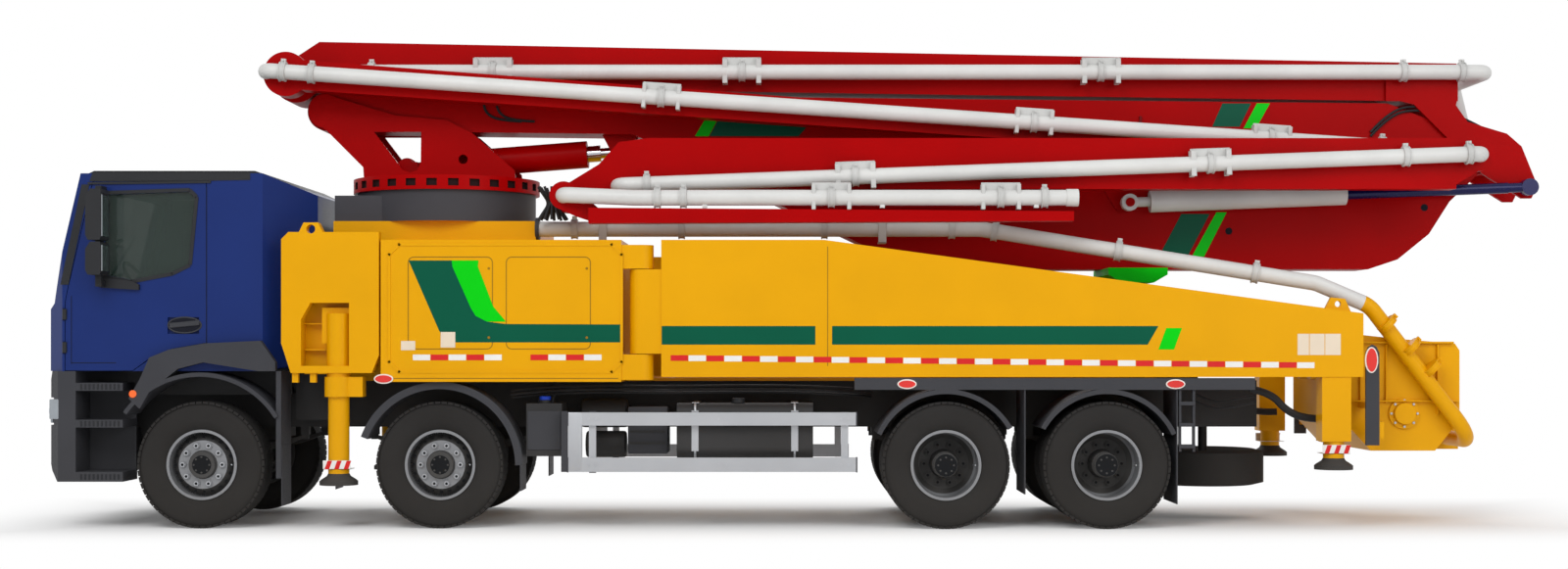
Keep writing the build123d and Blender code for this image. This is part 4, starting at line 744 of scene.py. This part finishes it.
class PUMPTRUCK_OT_markings(bpy.types.Operator):
    """Lay the stripes, the reflective tape and the blank plates."""

    bl_idname = "pumptruck.markings"
    bl_label = "Stripes and tape"

    def execute(self, context):
        marks = context.scene.truck_marks
        film = marks.film
        flat = (body_side, body_side + film)
        over = (body_side + film * 0.5, body_side + film * 2)
        top = (body_side + film * 1.2, body_side + film * 2.2)
        for box in pair("box_stripes", "truck", "yellow_paint", "stripe green", smooth=0):
            box.plate([(-3.376, 2.255), (-3.014, 2.255), (-3.009, 2.204), (-2.855, 1.857), (-2.814, 1.79),
                       (-2.721, 1.742), (-2.56, 1.722), (-1.596, 1.718), (-1.596, 1.568), (-2.988, 1.568),
                       (-3.081, 1.603), (-3.122, 1.67)], flat)
            box.plate([(-3.014, 2.255), (-2.79, 2.255), (-2.795, 2.204), (-2.667, 1.87), (-2.56, 1.742),
                       (-2.721, 1.742), (-2.814, 1.79), (-2.855, 1.857), (-3.009, 2.204)], over, "accent green")
            box.box((-3.44, -3.32), top, (1.502, 1.58), "blank plate")
            box.box((-3.107, -2.985), top, (1.525, 1.655), "blank plate")
            self.tape(box, marks, -3.343, 1.442, 5, 0.0, "tape white", "tape red")
            self.tape(box, marks, -2.357, 1.442, 4, 0.0, "tape red", "tape white")
        for arm in pair("arm_stripes", "rear_arm_{}", "yellow_paint", "stripe green", smooth=0):
            arm.box((-1.255, 0.033), flat, (1.549, 1.705))
            arm.plate([(0.173, 1.705), (2.908, 1.705), (2.818, 1.549), (0.173, 1.549)], flat)
            arm.plate([(2.974, 1.688), (3.105, 1.688), (3.039, 1.508), (2.908, 1.508)], flat, "accent green")
            self.tape(arm, marks, -1.182, 1.437, 36, -0.0115, "tape red", "tape white")
            for x in ((4.074, 4.17), (4.176, 4.3), (4.306, 4.436)):
                arm.box(x, flat, (1.462, 1.64), "blank plate")
        piece = Piece("boom_marks", "boom_a", "red_paint", "stripe green")
        for colour, outlines in (
            ("stripe green", (
                [(3.605, 3.505), (3.851, 3.505), (3.954, 3.715), (3.697, 3.715)],
                [(3.125, 2.341), (3.385, 2.341), (3.583, 2.724), (3.329, 2.724)],
                [(-0.9, 3.42), (-0.1, 3.42), (-0.03, 3.5), (-0.83, 3.555)])),
            ("accent green", (
                [(3.886, 3.491), (3.997, 3.491), (4.123, 3.715), (4.006, 3.715)],
                [(3.422, 2.341), (3.533, 2.341), (3.735, 2.738), (3.643, 2.738)],
                [(-1.03, 3.42), (-0.905, 3.42), (-0.835, 3.555), (-0.945, 3.562)])),
        ):
            for outline in outlines:
                piece.plate(outline, (boom_side - film, boom_side), colour)
        for x, z in ((2.534, 3.807), (5.229, 3.763), (3.754, 2.569), (5.506, 2.78)):
            piece.drum((x, hub_face, z), (0, -1, 0), 0.032, 0.004, "shut line", facets=20)
        piece.done(smooth=0)
        return {"FINISHED"}

    def tape(self, piece, marks, start, height, count, drop, *colours):
        """Segments of tape in two colours, falling a little along their row."""
        step, depth = marks.tape_step, marks.film
        y = piece.sign * (body_side + depth / 2)
        for offset, colour in enumerate(colours):
            piece.grow("bars", colour, count=(count + 1 - offset) // 2,
                       start=(start + (offset + 0.5) * step, y, height + offset * drop * step),
                       step=(2 * step, 0.0, 2 * drop * step), size=(step * 0.97, depth, marks.tape_height))


class PUMPTRUCK_OT_clamps(bpy.types.Operator):
    """Fit the couplings along the concrete pipes."""

    bl_idname = "pumptruck.clamps"
    bl_label = "Pipe couplings"

    def execute(self, context):
        pipe = context.scene.truck_pipes
        # a run's name, body, ends, plain couplings, and couplings between two bracket plates
        for name, body, start, end, plain, bracketed in (
            ("a", "boom_a", (-4.33, 0.502, 3.64), (6.196, 0.502, 3.27), (-3.95, 5.6), (-2.4, 0.6, 3.4)),
            ("b", "boom_b", (6.024, -0.185, 3.978), (-4.15, -0.185, 3.978), (-3.9, 5.28, 5.8),
             (-2.82, -0.606, 2.587)),
            ("c", "boom_c", (-4.768, -0.559, 3.943), (5.3, -0.559, 3.256), (-4.6, -4.35, 4.98),
             (-1.3, 1.948, 4.016)),
            ("d", "boom_d", (5.746, -0.924, 3.182), (-1.652, -0.924, 2.911), (-1.4, 5.08, 5.62), (0.38, 3.41)),
            ("e", "boom_e", (-1.5, -1.11, 2.7915), (2.255, -1.11, 2.7915), (-1.3, -1.08, 1.97), (0.17, 1.6)),
            ("deck", "truck", (-2.38, -0.62, 2.554), (1.48, -0.62, 2.554), (-2.05, -1.12, 0.12, 1.226), ()),
            ("deck_rear", "truck", (1.48, -0.62, 2.554), (4.3, -0.96, 2.075), (1.6, 2.65, 3.8), ()),
            ("drop", "truck", (4.82, -0.985, 1.8), (5.33, -0.985, 1.3), (4.9, 5.1, 5.28), ()),
        ):
            start, end = Vector(start), Vector(end)
            along = (end - start).normalized()
            up = along.cross(Vector((0, 1, 0)))
            up = up if up.z > 0 else -up
            slot_name, colour = ("yellow_paint", "body yellow") if name == "drop" else ("pipe_paint", "clamp white")
            piece = Piece(f"clamps_{name}", body, slot_name, colour)
            for station in plain + bracketed:
                middle = start.lerp(end, (station - start.x) / (end.x - start.x))
                piece.grow("clamp", colour, middle, along, pi / 2, pipe_radius=pipe_radius, reach=pipe.clamp_reach,
                           width=pipe.clamp_width)
                if station in bracketed:
                    self.bracket(piece, middle, along, up, colour)
            piece.done()
        return {"FINISHED"}

    def bracket(self, piece, middle, along, up, colour):
        """Two plates across the pipe beside its coupling, and the strap that joins them above it."""
        for way in (-1, 1):
            centre = middle + along * way * 0.15
            piece.bar(centre + up * 0.006, along * 0.017, (0, 0.058, 0), up * 0.108, colour, 0.004)
        piece.bar(middle + up * 0.094, along * 0.165, (0, 0.008, 0), up * 0.034, colour, 0.003)


class PUMPTRUCK_OT_cab(bpy.types.Operator):
    """Furnish the cab: padded seats, dash, steering wheel, wipers, lamps and grille bars."""

    bl_idname = "pumptruck.cab"
    bl_label = "Cab fittings"

    def execute(self, context):
        inside = Piece("cab_fittings", "truck", "black_plastic", "dash grey")
        inside.plate([(-6.325, 1.686), (-6.08, 1.686), (-6.08, 1.946), (-6.18, 2.026), (-6.255, 2.026)],
                     (-0.94, 0.94), 0.02, 3)
        inside.box((-6.28, -6.09), (-0.2, 0.2), (cab_floor, 1.7), 0.015, 2)
        inside.box((-5.74, -5.05), (-0.16, 0.16), (cab_floor, cab_floor + 0.3), 0.03, 3)
        column, hub = Vector((-6.12, -seat_line, 1.906)), Vector((-5.85, -seat_line, 2.086))
        lean = (hub - column).normalized()
        inside.drum(column, lean, 0.032, (hub - column).length)
        inside.spin([(along, radius) for radius, along in ellipse(0.212, 0, 0.016, 0.016, 12)], hub, lean,
                    "roof black", steps=40)
        inside.drum(hub - lean * 0.01, lean, 0.06, 0.03, 0.008)
        level = Vector((0, 1, 0))
        for way in (level, -level, -lean.cross(level).normalized()):
            inside.tube([hub, hub + way * 0.1, hub + way * 0.205], 0.011, "roof black")
        for y in (-seat_line, seat_line):
            inside.box((-5.4, -5.02), (y - 0.18, y + 0.18), (cab_floor, 1.68), 0.02, 2)
            inside.box((-5.46, -4.99), (y - 0.22, y + 0.22), (1.68, 1.716), "frame black", 0.008)
            for post in (y - 0.05, y + 0.05):
                inside.drum((-4.975, post, 2.36), (0.05, 0, 1), 0.007, 0.09, "rod chrome", facets=10)
        inside.done(stands_for=("cab_interior",))
        for label, y in (("driver", -seat_line), ("mate", seat_line)):
            self.cushion(f"seat_cushion_{label}", (-5.5, y - 0.25, 1.716), (-4.99, y + 0.25, 1.866), 0.0, True)
            self.cushion(f"seat_back_{label}", (-5.105, y - 0.24, 1.826), (-4.935, y + 0.24, 2.396), radians(7),
                         True)
            self.cushion(f"headrest_{label}", (-5.03, y - 0.13, 2.4), (-4.91, y + 0.13, 2.576), 0.0, False)
        self.outside()
        return {"FINISHED"}

    def cushion(self, name, low, high, lean, sewn):
        """A crowned pad, with two sewn channels along its length where it is sewn."""
        crown, seam_depth, seam_half = 4.5, 0.05, 0.06
        made = bmesh.new()
        bmesh.ops.create_cube(made, size=2)
        bmesh.ops.subdivide_edges(made, edges=made.edges, cuts=11, use_grid_fill=True)
        half = [(b - a) / 2 for a, b in zip(low, high)]
        middle = [(a + b) / 2 for a, b in zip(low, high)]
        for vertex in made.verts:
            u = vertex.co.copy()
            u *= max(abs(c) for c in u) / sum(abs(c) ** crown for c in u) ** (1 / crown)
            if sewn:
                across = u.y
                for seam in (-0.52, 0.52):
                    u *= 1 - seam_depth * exp(-((across - seam) / seam_half) ** 2)
            x, y, z = (c * h for c, h in zip(u, half))
            vertex.co = (middle[0] + x + z * lean, middle[1] + y, middle[2] + z)
        piece = Piece(name, "truck", "fabric", "seat cloth")
        piece.take(made)
        piece.done(smooth=60)

    def outside(self):
        """The lamps, wipers, steps, shut lines and trim of the cab's skin, and its door handles."""
        lamps = Piece("front_lamps", "truck", "glass", "lens clear")
        trim = Piece("cab_details", "truck", "black_plastic", "roof black")
        for _, sign in sides:
            lamps.sign = trim.sign = sign
            lamps.box((-6.455, -6.43), (0.66, 1.04), (0.885, 1.085), 0.01, 2)
            for y in (0.74, 0.86, 0.98):
                lamps.drum((-6.458, y, 0.985), (-1, 0, 0), 0.052, 0.012, "mirror silver", 0.003)
            lamps.box((-6.46, -6.43), (0.715, 0.885), (0.605, 0.705), 0.006)
            lamps.box((-6.425, -6.345), (1.128, 1.1525), (0.92, 1.09), 0.01, 2)
            lamps.drum((-5.695, 1.222, 1.135), (0, 1, 0), 0.032, 0.014, "lens orange", 0.004)
            trim.tube([(-6.346, 0.06, 2.075), (-6.364, 0.1, 2.1), (-6.3, 0.46, 2.4), (-6.262, 0.62, 2.55)],
                      0.01)
            trim.box((-6.352, -6.318), (0.03, 0.09), (2.055, 2.095), 0.006)
            trim.drum((-6.16, 0.93, 2.965), (-1, 0, -0.3), 0.03, 0.03, "lens clear", 0.005)
            for z in (1.1935, 0.8825, 0.4335):
                trim.grow("bars", "roof black", count=10, start=(-6.155, sign * 1.1505, z), step=(0.035, 0.0, 0.0),
                          size=(0.014, 0.006, 0.045))
            # rain strip over the door, and the pillar's dark face in front of it
            trim.plate([(-6.092, 2.9), (-5.06, 2.912), (-5.06, 2.93), (-6.1, 2.918)], (cab_side, 1.162), 0.003)
            trim.plate([(-6.33, 2.055), (-6.262, 2.055), (-6.085, 2.9), (-6.15, 2.9)], (cab_side, 1.1545))
            # panel lines of the cab's side behind the door, and of the corner and bumper
            for x, z in (((-5.1, -5.094), (1.385, 2.88)), ((-6.24, -6.234), (1.386, 1.96)),
                         ((-6.24, -5.86), (1.392, 1.398))):
                trim.box(x, (1.148, 1.1512), z, "shut line")
            # dark edge of the roof
            trim.plate([(-6.085, 2.928), (-6.058, 2.996), (-4.73, 2.996), (-4.73, 2.938), (-5.06, 2.932)],
                       (cab_side, 1.1545))
            # dark liner inside the front arch and behind it
            trim.box((-5.86, -4.45), (0.845, 0.85), (1.12, 1.345), "frame black")
            trim.box((-4.45, -4.15), (0.7, 0.706), (0.9, 1.345), "frame black")
        lamps.sign = trim.sign = 1
        for z in (1.475, 1.58, 1.685, 1.79):
            trim.grow("bars", "roof black", count=27, start=(-6.478, -0.65, z), step=(0.0, 0.05, 0.0),
                      size=(0.012, 0.01, 0.062))
        trim.box((-6.2, -6.115), (-1.02, 1.02), (2.9, 2.925), 0.01, 2)
        trim.done()
        lamps.done()
        # the door handles in their rimmed recesses, each recess a near-black plate of painted shade
        recess = ellipse(-5.282, 1.714, 0.14, 0.066)
        for door in pair("door_handle", "door_{}", "black_plastic", "moulded grey"):
            door.plate(recess, (cab_side, 1.153), "shut line")
            for (ax, az), (bx, bz) in zip(recess, recess[1:] + recess[:1]):
                door.tube([(ax, 1.1515, az), (bx, 1.1515, bz)], 0.0065, order=2)
            door.bar((-5.282, 1.158, 1.722), (0.128, 0, 0.012), (0, 0.006, 0), (0, 0, 0.022), 0.005)


class PUMPTRUCK_OT_body(bpy.types.Operator):
    """Outline the lockers, and fit their locks, the jacks' plates and the reflectors."""

    bl_idname = "pumptruck.body"
    bl_label = "Body details"

    def execute(self, context):
        flat = (body_side - 0.001, body_side + 0.0012)
        for box in pair("lockers", "truck", "yellow_paint", "seam yellow"):
            for left, right in ((-3.384, -2.669), (-2.562, -1.848)):
                self.outline(box, left, right, 1.508, 2.288, flat)
                for z in (1.608, 2.188):
                    box.drum((right - 0.035, flat[0], z), (0, 1, 0), 0.011, 0.006, 0.002)
            box.box((-3.6, -1.62), flat, (1.262, 1.27))
            box.edging([(-3.55, 1.4), (-3.46, 1.31), (-1.67, 1.31), (-1.58, 1.4), (-1.58, 2.31),
                        (-1.67, 2.4), (-3.46, 2.4), (-3.55, 2.31)], (body_side, body_side + 0.006),
                       0.022, 0.004, "body yellow", 0.002)
        for arm in pair("arm_seams", "rear_arm_{}", "yellow_paint", "seam yellow"):
            arm.box((0.132, 0.14), flat, (1.37, 2.372))
        for place, x, foot in (("front", -3.985, 0.366), ("rear", 4.405, 0.497)):
            for jack in pair(f"jack_plate_{place}", place + "_jack_{}", "grey_paint", "tape white"):
                self.jack_plate(jack, x, foot)
        for recess in pair("leg_recess", "front_leg_{}", "yellow_paint", "body yellow"):
            recess.plate([(-4.3, 1.3), (-4.3, 1.9), (-4.215, 2.08), (-3.855, 2.08), (-3.855, 1.3)],
                         (1.028, 1.033))
            recess.box((-4.297, -4.289), (1.028, 1.152), (1.372, 1.9))
            for z in (1.5, 1.72):
                recess.box((-4.29, -4.075), (1.033, 1.1), (z, z + 0.012))
        # red reflectors whose lenses glow with painted light
        for marks in pair("reflectors", "truck", "glass", "lens red"):
            for x, z in ((-3.585, 1.262), (0.801, 1.218), (3.052, 1.218)):
                self.oval(marks, x, z, 0.07, 0.03, outer_face(x, z, marks.sign))
            self.oval(marks, 4.7, 1.42, 0.044, 0.098, 1.225)
        return {"FINISHED"}

    def jack_plate(self, jack, x, foot):
        """The plate over a jack's foot, striped on its outer edge, and the foot's collar."""
        jack.spin([(foot + 0.033, 0.02), (foot + 0.033, 0.155), (foot + 0.043, 0.15), (foot + 0.075, 0.1),
                   (foot + 0.12, 0.075), (foot + 0.12, 0.02)], (x, jack_line, 0), (0, 0, 1), "cast black", steps=40)
        low, edge = foot + 0.135, jack_line + jack_half
        jack.box((x - 0.115, x + 0.115), (jack_line - jack_half, edge), (low, low + 0.004))
        jack.box((x - 0.115, x + 0.115), (edge - 0.004, edge), (low, low + 0.075))
        for k in range(3):
            start = x - 0.1 + k * 0.08
            jack.plate([(start, low + 0.002), (start + 0.038, low + 0.002), (start + 0.063, low + 0.073),
                        (start + 0.025, low + 0.073)], (edge - 0.0005, edge + 0.001), "tape red")

    def outline(self, piece, left, right, low, high, flat, width=0.009, corner=0.05):
        """A thin rounded frame on a side wall."""
        outer, inner = [], []
        for cx, cz, start in ((right - corner, low + corner, -90), (right - corner, high - corner, 0),
                              (left + corner, high - corner, 90), (left + corner, low + corner, 180)):
            for i in range(5):
                a = radians(start + 90 * i / 4)
                outer.append((cx + corner * cos(a), cz + corner * sin(a)))
                inner.append((cx + (corner - width) * cos(a), cz + (corner - width) * sin(a)))
        made = bmesh.new()
        a, b, c, d = [[made.verts.new((x, y, z)) for x, z in line]
                      for y in sorted(station * piece.sign for station in flat) for line in (outer, inner)]
        for i in range(len(outer)):
            j = (i + 1) % len(outer)
            made.faces.new((a[i], a[j], b[j], b[i]))
            made.faces.new((c[i], d[i], d[j], c[j]))
            made.faces.new((a[i], c[i], c[j], a[j]))
            made.faces.new((b[i], b[j], d[j], d[i]))
        piece.take(made)

    def oval(self, piece, x, z, half, tall, face):
        """An oval reflector in a white rim, its red lens glowing with painted light."""
        for rim, depth, colour in ((0.011, 0.008, "lamp rim"), (0.0, 0.014, "lens red")):
            piece.plate(ellipse(x, z, half + rim, tall + rim), (face - 0.002, face + depth), colour)


class PUMPTRUCK_OT_gear(bpy.types.Operator):
    """Fit the tank's straps and caps, the air tanks, the guards' bolts and the hoses beside the frame."""

    bl_idname = "pumptruck.gear"
    bl_label = "Tank and guards"

    def execute(self, context):
        gear = Piece("tank_fittings", "truck", "tank_metal", "frame black")
        up = (0, 0, 1)
        for x in (-0.98, -0.14):
            strap = (x - 0.03, x + 0.03)
            gear.box(strap, (-1.157, -1.1495), (0.65, 0.995), "rail silver", 0.002)
            for z in ((1.053, 1.06), (0.584, 0.591)):
                gear.box(strap, (-1.09, -0.5), z, "rail silver", 0.002)
            for side_z, end_z in ((0.66, 0.588), (0.985, 1.056)):
                gear.tube([(x, -1.153, side_z), (x, -1.153, end_z), (x, -1.08, end_z)], 0.01, "rail silver")
        gear.drum((-0.62, -1.00, 1.05), up, 0.055, 0.045, "roof black", 0.006)
        gear.drum((-2.255, -1.04, 1.078), up, 0.048, 0.035, "cap blue", 0.006)
        gear.box((-2.395, -2.115), (-1.137, -1.129), (0.66, 0.99), "moulded grey", 0.003)
        for z, y in ((1.175, -1.02), (1.205, -0.99), (1.15, -0.98)):
            gear.tube([(-2.55, y, z - 0.05), (-2.1, y, z), (-1.2, y, z - 0.012), (-0.4, y, z), (0.32, y, z - 0.02),
                       (0.52, y + 0.25, z - 0.05)], 0.011, "hose black")
        for x in (-2.31, -2.27, -2.2):
            gear.tube([(x, -1.00, 1.05), (x, -1.0, 1.12), (x + 0.1, -0.9, 1.2), (x + 0.3, -0.8, 1.18)], 0.012,
                      "hose black")
        for x, z, radius, length in ((-1.98, 0.96, 0.125, 0.4), (-1.94, 0.69, 0.115, 0.35)):
            gear.drum((x, -0.7, z), (1, 0, 0), radius, length, 0.03, 3, facets=32)
        gear.box((-1.56, -1.22), (-0.98, -0.62), (0.62, 1.02), "moulded grey", 0.015, 2)
        for z in (0.7, 0.8, 0.9):
            gear.box((-1.54, -1.24), (-0.985, -0.978), (z, z + 0.02))
        gear.done()
        for guards in pair("guard_fittings", "truck", "tank_metal", "rail silver"):
            for z, band in ((0.54, 0.064), (0.925, 0.059)):
                for x in (-1.84, -0.75, 0.28):
                    for bolt in (x - 0.03, x + 0.03):
                        guards.drum((bolt, 1.234, z), (0, 1, 0), 0.012, 0.008, "nut steel", facets=6)
                for end in (-2.051, 0.374):
                    guards.box((end, end + 0.012), (guard_side, 1.239), (z - band, z + band), "moulded grey", 0.002)
            guards.box((-1.87, -1.81), (1.168, guard_side), (0.47, 0.99), "moulded grey", 0.004)
            guards.box((-2.045, -1.925), (guard_side, 1.237), (0.49, 0.98), 0.008, 2)
            guards.box((-2.1, -2.047), (guard_side, 1.237), (0.48, 0.99), "moulded grey", 0.003)
        return {"FINISHED"}


class PUMPTRUCK_OT_hoses(bpy.types.Operator):
    """Run the hydraulic hoses and steel lines, and fit the rear's motors and bolts."""

    bl_idname = "pumptruck.hoses"
    bl_label = "Hoses and lines"

    def execute(self, context):
        self.boom(context.scene.truck_pipes.hose_radius)
        self.slewing_ring()
        under = Piece("rear_hoses", "truck", "black_plastic", "hose black")
        for _, under.sign in sides:
            under.tube([(3.75, 0.95, 1.17), (3.92, 0.96, 1.14), (4.05, 0.97, 0.98), (4.25, 0.95, 0.91),
                        (4.42, 0.92, 0.92)], 0.032)
            for z in (0.99, 1.05):
                under.tube([(3.3, 0.86, z + 0.08), (3.45, 0.88, z), (3.62, 0.87, z + 0.03),
                            (3.8, 0.86, z + 0.06)], 0.012)
        under.done()
        rear = Piece("hopper_fittings", "truck", "yellow_paint", "body yellow")
        for _, rear.sign in sides:
            rear.spin([(0.0, 0.0), (0.0, 0.13), (0.022, 0.13), (0.022, 0.095), (0.06, 0.09), (0.06, 0.0)],
                      (5.08, hopper_side, 0.96), (0, 1, 0), steps=32)
            for x, z in ellipse(5.08, 0.96, 0.112, 0.112, 8):
                rear.drum((x, hopper_side + 0.02, z), (0, 1, 0), 0.011, 0.012, "nut steel", facets=6)
            for x, low in ((4.7, 1.05), (4.92, 1.05), (5.36, 0.95)):
                rear.box((x, x + 0.012), (hopper_side - 0.002, hopper_side + 0.03), (low, 1.55), 0.002)
            for x, z in (((4.575, 5.5), (1.56, 1.576)), ((4.62, 5.54), (1.06, 1.074))):
                rear.box(x, (hopper_side - 0.002, hopper_side + 0.04), z, 0.003)
        rear.done()
        return {"FINISHED"}

    def boom(self, radius):
        """The hose loops, steel lines and bolts on the first section's left wall."""
        arm = Piece("boom_a_hoses", "boom_a", "black_plastic", "hose black")
        y = boom_side - radius * 1.05
        for dx in (0.0, 0.115):
            arm.tube([(-2.86 + dx, y, 3.83), (-2.93 + dx, y, 3.74), (-2.9 + dx, y, 3.62), (-2.78 + dx, y, 3.56),
                      (-2.58 + dx, y, 3.55)], radius * 0.8)
        for dz in (0.0, 0.035):
            arm.tube([(5.02, y, 3.42 + dz), (5.2, y, 3.62 + dz), (5.45, y, 3.66 + dz), (5.75, y, 3.6 + dz),
                      (6.02, y, 3.46 + dz)], radius * 0.8)
        for z in (3.52, 3.56):
            arm.tube([(1.05, y, z), (2.2, y, z - 0.04), (3.45, y, z - 0.08)], 0.008, "line steel")
        for x in (1.35, 2.15, 2.95):
            arm.box((x, x + 0.022), (-0.082, -0.063), (3.44, 3.6), "seam red", 0.002)
        for x, z, ring, count in ((-4.33, 3.64, 0.115, 10), (6.196, 3.27, 0.105, 8)):
            for bolt_x, bolt_z in ellipse(x, z, ring, ring, count):
                arm.drum((bolt_x, hub_face, bolt_z), (0, -1, 0), 0.011, 0.007, "seam red", facets=6)
        for x in (4.2, 4.6, 5.0):
            arm.drum((x, hub_face, 3.78), (0, -1, 0), 0.016, 0.006, "seam red", facets=12)
        arm.done()

    def slewing_ring(self):
        """The waisted bundle of hoses behind the slewing ring, and the deck pipe's flange and rests."""
        swivel = Piece("slew_hoses", "truck", "black_plastic", "hose black")
        x, y = -2.218, -0.8
        for dx, dy in ellipse(0.0, 0.0, 0.125, 0.1, 12):
            swivel.tube([(x + dx, y + dy, 2.905), (x + dx * 0.7, y + dy, 2.85),
                         (x + dx * 0.25, y + dy * 0.25, 2.765), (x + dx * 0.7, y + dy, 2.68),
                         (x + dx, y + dy, 2.622)], 0.012)
        swivel.drum((x, y, 2.745), (0, 0, 1), 0.055, 0.04, "roof black", 0.008)
        swivel.spin([(0.0, 0.068), (0.0, 0.1), (0.03, 0.1), (0.03, 0.068)], (-2.385, -0.62, 2.554),
                    (1, 0, 0), "moulded grey", steps=32)
        for x in (-1.8, 0.62):
            swivel.box((x - 0.035, x + 0.035), (-0.7, -0.688), (2.428, 2.69), "clamp white", 0.004)
            swivel.box((x - 0.035, x + 0.035), (-0.7, -0.54), (2.428, 2.44), "clamp white", 0.003)
        swivel.done()


class PUMPTRUCK_OT_stage(bpy.types.Operator):
    """Lay the pale floor, and place the lights and the camera."""

    bl_idname = "pumptruck.stage"
    bl_label = "Floor, lights and camera"

    def execute(self, context):
        scene = context.scene
        floor_mesh = bpy.data.meshes.new("floor")
        floor_mesh.from_pydata([(-60, -40, 0), (60, -40, 0), (60, 60, 0), (-60, 60, 0)], [], [(0, 1, 2, 3)])
        floor = bpy.data.objects.new("floor", floor_mesh)
        scene.collection.objects.link(floor)
        floor_mesh.materials.append(self.paper())
        scene.world = self.studio()
        for name, place, aim, power, size in (
            ("key", (-6, -16, 14), (0, 0, 1.5), 1500, 9.0),
            ("fill", (10, -14, 8), (1, 0, 1.5), 700, 9.0),
            ("back", (0, 14, 12), (0, 0, 2.0), 900, 10.0),
        ):
            lamp = bpy.data.lights.new(name, "AREA")
            lamp.energy = power
            lamp.size = size
            holder = bpy.data.objects.new(name, lamp)
            holder.location = place
            holder.rotation_euler = (Vector(aim) - Vector(place)).to_track_quat("-Z", "Y").to_euler()
            scene.collection.objects.link(holder)

        sensor, frame_width, focal_width = 36.0, 1600, 2088
        lens = bpy.data.cameras.new("camera")
        lens.sensor_width = sensor
        lens.lens = sensor * focal_width / frame_width
        lens.shift_y = 0.0409
        lens.shift_x = -0.0019
        lens.clip_end = 200.0
        camera = bpy.data.objects.new("camera", lens)
        camera.location = (-0.205, -18.4, 1.516)
        camera.rotation_euler = (pi / 2, 0, 0)
        scene.collection.objects.link(camera)
        scene.camera = camera
        scene.view_settings.view_transform = "Standard"
        return {"FINISHED"}

    def paper(self):
        """Pale grey near the truck, fading to plain white for the camera beyond its shadow."""
        material = bpy.data.materials.new("floor paper")
        material.use_nodes = True
        tree = material.node_tree
        shader = tree.nodes["Principled BSDF"]
        shader.inputs["Roughness"].default_value = 0.9
        tone = node(tree, "ShaderNodeValToRGB", {"Fac": node(tree, "ShaderNodeTexNoise", {"Scale": 0.6})})
        for stop, grey in zip(tone.color_ramp.elements, (0.86, 0.9)):
            stop.color = (grey, grey, grey, 1)
        feed(tree, shader.inputs["Base Color"], tone)
        place = node(tree, "ShaderNodeTexCoord").outputs["Object"]
        ends = node(tree, "ShaderNodeSeparateXYZ", {"Vector": place})
        beyond = [math(tree, "SUBTRACT", math(tree, "ABSOLUTE", ends.outputs[axis]), clear)
                  for axis, clear in (("X", 6.9), ("Y", 1.7))]
        fade = node(tree, "ShaderNodeMapRange", {"Value": math(tree, "MAXIMUM", *beyond), "From Min": -1.2,
                                                 "From Max": 0.9}, interpolation_type="SMOOTHSTEP")
        share = math(tree, "MULTIPLY", fade, self.rays(tree, "Camera", "Transmission"))
        blend = node(tree, "ShaderNodeMixShader", {"Fac": share, 1: shader, 2: node(tree, "ShaderNodeEmission")})
        feed(tree, tree.nodes["Material Output"].inputs["Surface"], blend)
        return material

    def studio(self):
        """A soft white surround, brighter where it is seen or mirrored."""
        world = bpy.data.worlds.new("studio")
        world.use_nodes = True
        tree = world.node_tree
        level = node(tree, "ShaderNodeMix", {
            "A": 0.62, "B": 1.0, "Factor": self.rays(tree, "Camera", "Transmission", "Glossy")})
        sky = tree.nodes["Background"]
        sky.inputs["Color"].default_value = (1, 1, 1, 1)
        feed(tree, sky.inputs["Strength"], level)
        return world

    def rays(self, tree, first, *others):
        """1 on the named kinds of ray and 0 on the others."""
        path = node(tree, "ShaderNodeLightPath")
        shown = path.outputs[f"Is {first} Ray"]
        for kind in others:
            shown = math(tree, "MAXIMUM", shown, path.outputs[f"Is {kind} Ray"])
        return shown


class PUMPTRUCK_PT_panel(bpy.types.Panel):
    """The truck's settings and the steps that dress it."""

    bl_label = "Pump Truck"
    bl_idname = "PUMPTRUCK_PT_panel"
    bl_space_type = "VIEW_3D"
    bl_region_type = "UI"
    bl_category = "Pump Truck"

    def draw(self, context):
        for group in groups:
            settings = getattr(context.scene, group)
            box = self.layout.box()
            for name in settings.__annotations__:
                box.prop(settings, name)
        for step in steps:
            self.layout.operator(step.bl_idname)


steps = (
    PUMPTRUCK_OT_finishes, PUMPTRUCK_OT_frame, PUMPTRUCK_OT_wheels, PUMPTRUCK_OT_glazing, PUMPTRUCK_OT_markings,
    PUMPTRUCK_OT_clamps, PUMPTRUCK_OT_cab, PUMPTRUCK_OT_body, PUMPTRUCK_OT_gear, PUMPTRUCK_OT_hoses,
    PUMPTRUCK_OT_stage,
)
groups = {"truck_paint": PaintSettings, "truck_wheels": WheelSettings, "truck_pipes": PipeSettings,
          "truck_marks": MarkSettings}
classes = (*groups.values(), *steps, PUMPTRUCK_PT_panel)


def register():
    for item in classes:
        bpy.utils.register_class(item)
    for name, group in groups.items():
        setattr(bpy.types.Scene, name, PointerProperty(type=group))


def unregister():
    for name in groups:
        delattr(bpy.types.Scene, name)
    for item in reversed(classes):
        bpy.utils.unregister_class(item)


def main():
    """Dress the truck."""
    register()
    for step in steps:
        family, action = step.bl_idname.split(".")
        getattr(getattr(bpy.ops, family), action)()


if __name__ == "__main__":
    main()
